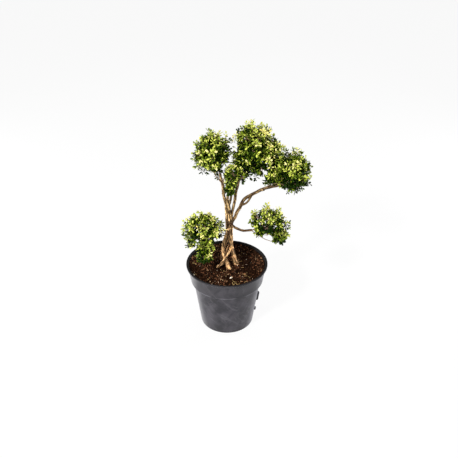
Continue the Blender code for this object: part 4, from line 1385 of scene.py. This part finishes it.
def stemOf(name):
    path = boughPath(masses[name]["bough"])[0]
    ahead = endWay(path)
    start = path[-1] + ahead * trunk["gap"]
    middle = Vector(masses[name]["lobes"][0][0])
    hub = start.lerp(middle, growth["stemShare"])
    pull = [(hub - start).length * share for share in growth["stemPull"]]
    return bezierPath(start, ahead, hub, middle - start, pull, growth["stemSteps"])


def growMass(name):
    # arms and twigs as the frame has them, with the lobe that each twig belongs to
    spec = masses[name]
    rule = random.Random(spec["seed"])
    stem = stemOf(name)
    arms, twigs = [], []
    for lobeNumber, lobe in enumerate(spec["lobes"]):
        middle, _, armCount, twigCount, springs = lobe
        foot = stem[round(springs * growth["stemSteps"])]
        spin = rule.uniform(0, math.tau)
        armDirections = evenDirections(armCount, spin)
        first = len(arms)
        for direction in armDirections:
            tip = onLobe(lobe, direction, growth["armShare"])
            pull = [(tip - foot).length * share for share in growth["armPull"]]
            leave = (Vector(middle) - foot).normalized() + direction
            arms.append(bezierPath(foot, leave, tip, direction, pull, growth["armSteps"]))
        for k, direction in enumerate(evenDirections(twigCount, spin)):
            outward = strayFrom(direction, rule, growth["twigJitter"])
            nearest = first + max(range(armCount), key=lambda a: armDirections[a].dot(outward))
            root = arms[nearest][-1].lerp(arms[nearest][-2], rule.uniform(*growth["twigRoots"]))
            share = growth["twigShares"][k % len(growth["twigShares"])] * rule.uniform(*growth["twigStray"])
            twigs.append((nearest, root, onLobe(lobe, outward, share), outward, lobeNumber))
            # the frame draws its leaves' turn here, so one draw is passed over
            rule.uniform(0, math.tau)
    armFree = [bool(freeThere(arm[1:], growth["armRadius"], name).all()) for arm in arms]
    keptTwigs = []
    for nearest, root, end, outward, lobeNumber in twigs:
        checks = [root.lerp(end, share) for share in growth["twigChecks"]]
        if armFree[nearest] and freeThere(checks, growth["twigRadius"], name).all():
            keptTwigs.append((root, end, outward, lobeNumber))
    return stem, [arm for arm, free in zip(arms, armFree) if free], keptTwigs


def growShoots(name, twigs):
    # the rule carried one step finer: a shoot springs from the twig that points most nearly its own way
    spec = masses[name]
    rule = random.Random(spec["seed"] * growth["shootSeed"])
    shares = growth["shootShares"]
    first, last = min(shares), max(shares)
    up = Vector((0, 0, growth["shootLift"]))
    found = []
    for lobeNumber, lobe in enumerate(spec["lobes"]):
        own = [twig for twig in twigs if twig[3] == lobeNumber]
        if not own:
            continue
        for k, direction in enumerate(evenDirections(lobe[3] * spec["shoots"], rule.uniform(0, math.tau))):
            outward = strayFrom(direction, rule, growth["shootJitter"])
            root, end, *_ = max(own, key=lambda twig: twig[2].dot(outward))
            foot = root.lerp(end, rule.uniform(*growth["shootRoots"]))
            share = shares[k % len(shares)] * rule.uniform(*growth["shootStray"])
            lump = noise.noise(outward * growth["lumpSize"] + Vector((spec["seed"], 0, 0)))
            share *= 1 + growth["lump"] * lump
            tip = onLobe(lobe, outward, share)
            pull = (tip - foot).length * growth["shootPull"]
            leave = (end - root).normalized() + outward * growth["shootLean"]
            path = bezierPath(foot, leave, tip, outward + up, (pull, pull), growth["shootSteps"])
            # the shoots that come furthest out carry the new growth
            young = (share - first) / (last - first) * growth["youngShare"]
            young += rule.random() * (1 - growth["youngShare"])
            shoot = (path, outward, young, rule.uniform(0, math.tau), spec["edge"])
            # here and there the shoots fail, and the mass is open
            if noise.noise(outward * growth["thinSize"] + Vector((0, spec["seed"], 5))) > spec["thin"]:
                found.append(shoot)
    # a shoot that leaves the mass's own space, or touches a limb, is left out
    points = [p for path, *_ in found for p in path[2:]]
    edge = spec["edge"] - growth["shootInside"]
    free = freeThere(points, growth["shootRadius"], name, edge, growth["leafMargin"])
    kept = [shoot for shoot, clear in zip(found, free.reshape(len(found), -1).all(1)) if clear]
    return kept + growSprigs(name, twigs, rule)


def growSprigs(name, twigs, rule):
    # each one springs from the twig whose end is nearest to its tip
    up = Vector((0, 0, growth["sprigLift"]))
    found = []
    for tip in map(Vector, sprigs[name]):
        root, end, *_ = min(twigs, key=lambda twig: (twig[1] - tip).length)
        outward = (tip - root).normalized()
        pull = [(tip - end).length * share for share in growth["sprigPull"]]
        foot = root.lerp(end, growth["sprigRoot"])
        path = bezierPath(foot, end - root, tip, outward + up, pull, growth["shootSteps"])
        found.append((path, outward, rule.random(), rule.uniform(0, math.tau), growth["sprigEdge"]))
    return found


def leafTemplate():
    # a grid drawn to a rounded blade, with its midrib raised above the rim
    rows = len(leaf["outline"]) - 1
    deselectAll()
    bpy.ops.mesh.primitive_grid_add(x_subdivisions=2, y_subdivisions=rows, size=1, location=(0, 0.5, 0))
    blade = justAdded("leafBlade")
    applyPlace(blade)
    editStart(blade)
    for row, (height, half) in enumerate(leaf["outline"]):
        y = row / rows
        pickVerts(blade, lambda co: abs(co.y - y) < 0.01)
        bpy.ops.transform.resize(value=(half, 1, 1), center_override=(0, y, 0))
        bpy.ops.transform.translate(value=(0, height - y, 0))
    bpy.ops.mesh.select_all(action="SELECT")
    bpy.ops.mesh.remove_doubles(threshold=0.0001)
    pickVerts(blade, lambda co: abs(co.x) > 0.1)
    bpy.ops.transform.translate(value=(0, 0, -1))
    editEnd()
    return shapeOf(blade)


def closedLeaf():
    # scaled to its own size, with an underside that shares its rim
    points, faces = leafTemplate()
    top = points * np.array((leaf["width"], leaf["length"], leaf["cup"]))
    top[:, 2] -= leaf["droop"] * points[:, 1] ** 2
    onRib = (np.abs(points[:, 0]) < 0.01) & (points[:, 1] > 0.01) & (points[:, 1] < 0.99)
    under = {i: len(points) + n for n, i in enumerate(np.flatnonzero(onRib))}
    low = top[onRib] - np.array((0, 0, leaf["thickness"]))
    below = [tuple(under.get(i, i) for i in reversed(face)) for face in faces]
    blade = np.vstack([points, points[onRib]])[:, :2] + np.array((0.5, 0))
    return np.vstack([top, low]), faces + below, blade, len(faces)


leafShape, leafFaces, leafBlade, topFaces = closedLeaf()


def leavesOn(shoots, name):
    # place, axes and tone of every leaf: they spiral up a shoot and close in at its tip
    spec = masses[name]
    rule = random.Random(spec["seed"] * growth["leafSeed"])
    closed, opened = leaf["spread"]
    rows = []
    for path, outward, toneDraw, spin, edge in shoots:
        inner = edge is None
        count, bare = (spec["inner"], 0.0) if inner else (leaf["count"], leaf["bare"])
        lengths = [0.0]
        for a, b in zip(path, path[1:]):
            lengths.append(lengths[-1] + (b - a).length)
        for k in range(count):
            place = (1 - (1 - bare) * k / count) * lengths[-1]
            i = min(len(path) - 2, max(j for j in range(len(path)) if lengths[j] <= place + 1e-9))
            along = (path[i + 1] - path[i]).normalized()
            here = path[i].lerp(path[i + 1], (place - lengths[i]) / max(1e-9, lengths[i + 1] - lengths[i]))
            side = along.orthogonal().normalized()
            angle = spin + growth["golden"] * k
            sideways = side * math.cos(angle) + along.cross(side) * math.sin(angle)
            openShare = 1.0 if inner else min(1.0, k / leaf["openAfter"])
            spread = closed + (opened - closed) * openShare
            spread += rule.uniform(-leaf["spreadStray"], leaf["spreadStray"])
            direction = (along * math.cos(spread) + sideways * math.sin(spread)).normalized()
            facing = along * math.sin(spread) - sideways * math.cos(spread)
            facing += Vector((0, 0, leaf["toSky"])) + randomVector(rule) * leaf["stray"]
            facing = (facing - direction * facing.dot(direction)).normalized()
            size = rule.uniform(*leaf["sizes"])
            if k < leaf["tipCount"] and not inner:
                size *= leaf["tipSize"]
            rows.append(dict(here=here, direction=direction, facing=facing, size=size, outward=outward,
                             order=1.0 if inner else k / count, toneDraw=toneDraw, leafDraw=rule.random(),
                             edge=edge or spec["edge"]))
    return rows


toneRule = dict(
    tipLift=0.34, tipPower=1.3, paintedTopLight=0.30, patch=0.20, patchSize=34.0, draw=1.05, leafDraw=0.46,
    inside=-0.30, steps=(0.24, 0.55, 0.90),
    # places where the leaves are lifted lighter, and places in painted shade where they are darker: place,
    # reach, lift
    places=[((-0.059, -0.070, 0.258), 0.026, -0.13), ((-0.016, -0.045, 0.340), 0.028, 0.24),
            ((0.150, -0.050, 0.455), 0.026, -0.16), ((0.040, -0.020, 0.515), 0.022, -0.14),
            ((0.078, -0.020, 0.544), 0.018, -0.30), ((0.132, -0.030, 0.527), 0.018, -0.32),
            ((0.155, -0.060, 0.516), 0.014, 0.04), ((0.097, -0.008, 0.578), 0.024, 0.36),
            ((0.112, -0.022, 0.520), 0.024, 0.22), ((0.072, 0.010, 0.597), 0.020, 0.20),
            ((-0.046, -0.035, 0.545), 0.026, 0.12), ((0.170, -0.065, 0.500), 0.018, -0.02),
            ((0.162, -0.020, 0.544), 0.022, 0.30)],
)

def toneOf(row, bias):
    # the lightest leaves are the outermost ones, near a shoot's tip
    here, order = row["here"], row["order"]
    lift = bias + toneRule["tipLift"] * (1 - order) ** toneRule["tipPower"]
    # painted light: leaves on the top of a mass, which face the sky, are lighter
    lift += toneRule["paintedTopLight"] * row["outward"].z
    # painted shade, along with their age: the older leaves deep in a mass are made darker
    if order == 1:
        lift += toneRule["inside"]
    lift += toneRule["patch"] * noise.noise(here * toneRule["patchSize"])
    lift += toneRule["draw"] * (row["toneDraw"] - 0.5) + toneRule["leafDraw"] * (row["leafDraw"] - 0.5)
    # the listed places lift leaves lighter, or darken them as painted shade
    for place, reach, more in toneRule["places"]:
        lift += more * math.exp(-((here - Vector(place)).length / reach) ** 2)
    dark, mid, fresh = toneRule["steps"]
    if lift > fresh:
        return "Gold"
    if lift > mid:
        return "Fresh"
    return "Mid" if lift > dark else "Dark"


def buildLeaves(name, kind, rows):
    places = []
    for row in rows:
        side = row["direction"].cross(row["facing"])
        axes = np.array([side, row["direction"], row["facing"]]) * row["size"]
        places.append((axes, np.array(row["here"])))
    piece = buildCopies(name + kind + "Leaves", (leafShape, leafFaces), places)
    markPiece(piece, "leafTone", "POINT", np.repeat([row["leafDraw"] for row in rows], len(leafShape)))
    # faces come by corner count, so these marks follow the same order
    sides = []
    for corners in (3, 4):
        some = [float(n >= topFaces) for n, face in enumerate(leafFaces) if len(face) == corners]
        sides.append(np.tile(some, len(rows)))
    markPiece(piece, "underside", "FACE", np.concatenate(sides))
    wrapPiece(piece.data, "leafBlade", np.tile(leafBlade, (len(rows), 1)))
    piece.data.polygons.foreach_set("use_smooth", np.ones(len(piece.data.polygons), bool))
    return piece


def growTwigs(name, stem, arms, twigs, shoots):
    # all the wood of a mass as one piece
    kinds = [([stem], growth["stemThick"]), (arms, growth["armThick"]), (twigs, growth["twigThick"])]
    kinds.append(([path for path, *_ in shoots], growth["shootThick"]))
    kinds += [([path], thick) for thick, path in bareTwigs.get(name, [])]
    pipes = [(path, np.linspace(*thick, len(path))) for paths, thick in kinds for path in paths]
    wood = pipesOf(name + "Twigs", pipes, 0)
    pick(wood)
    bpy.ops.object.shade_smooth()
    finishPiece(wood, twigFinish, "bark", masses[name]["node"])


def dressMass(name):
    spec = masses[name]
    stem, arms, twigs = growMass(name)
    shoots = growShoots(name, twigs)
    lines = [[root, root.lerp(end, 0.5), end] for root, end, *_ in twigs]
    growTwigs(name, stem, arms, lines, shoots)
    # the twigs carry older leaves too, deep in the mass
    older = [(line, twig[2], 0.5, 0.0, None) for line, twig in zip(lines, twigs)]
    rows = leavesOn(shoots + older, name)
    # a leaf stays where its tip and its middle have room and hide nothing
    edges = np.array([row["edge"] for row in rows])
    free = np.ones(len(rows), bool)
    for share, margin in ((1.0, growth["leafMargin"] * 2), (0.5, growth["leafMargin"])):
        points = [row["here"] + row["direction"] * leaf["length"] * row["size"] * share for row in rows]
        free &= freeThere(points, 0, name, edges, margin) & ~outOfSight(points, name)
    sprays = {kind: [] for kind in leafTones}
    for row, kept in zip(rows, free):
        if kept:
            sprays[toneOf(row, spec["bias"])].append(row)
    for kind, some in sprays.items():
        if some:
            finishPiece(buildLeaves(name, kind, some), leafFinishes[kind], "leaves", spec["node"])
    print(name, "shoots", len(shoots), "leaves", {kind: len(some) for kind, some in sprays.items()})


for massName in masses:
    dressMass(massName)
print("foliage grown")
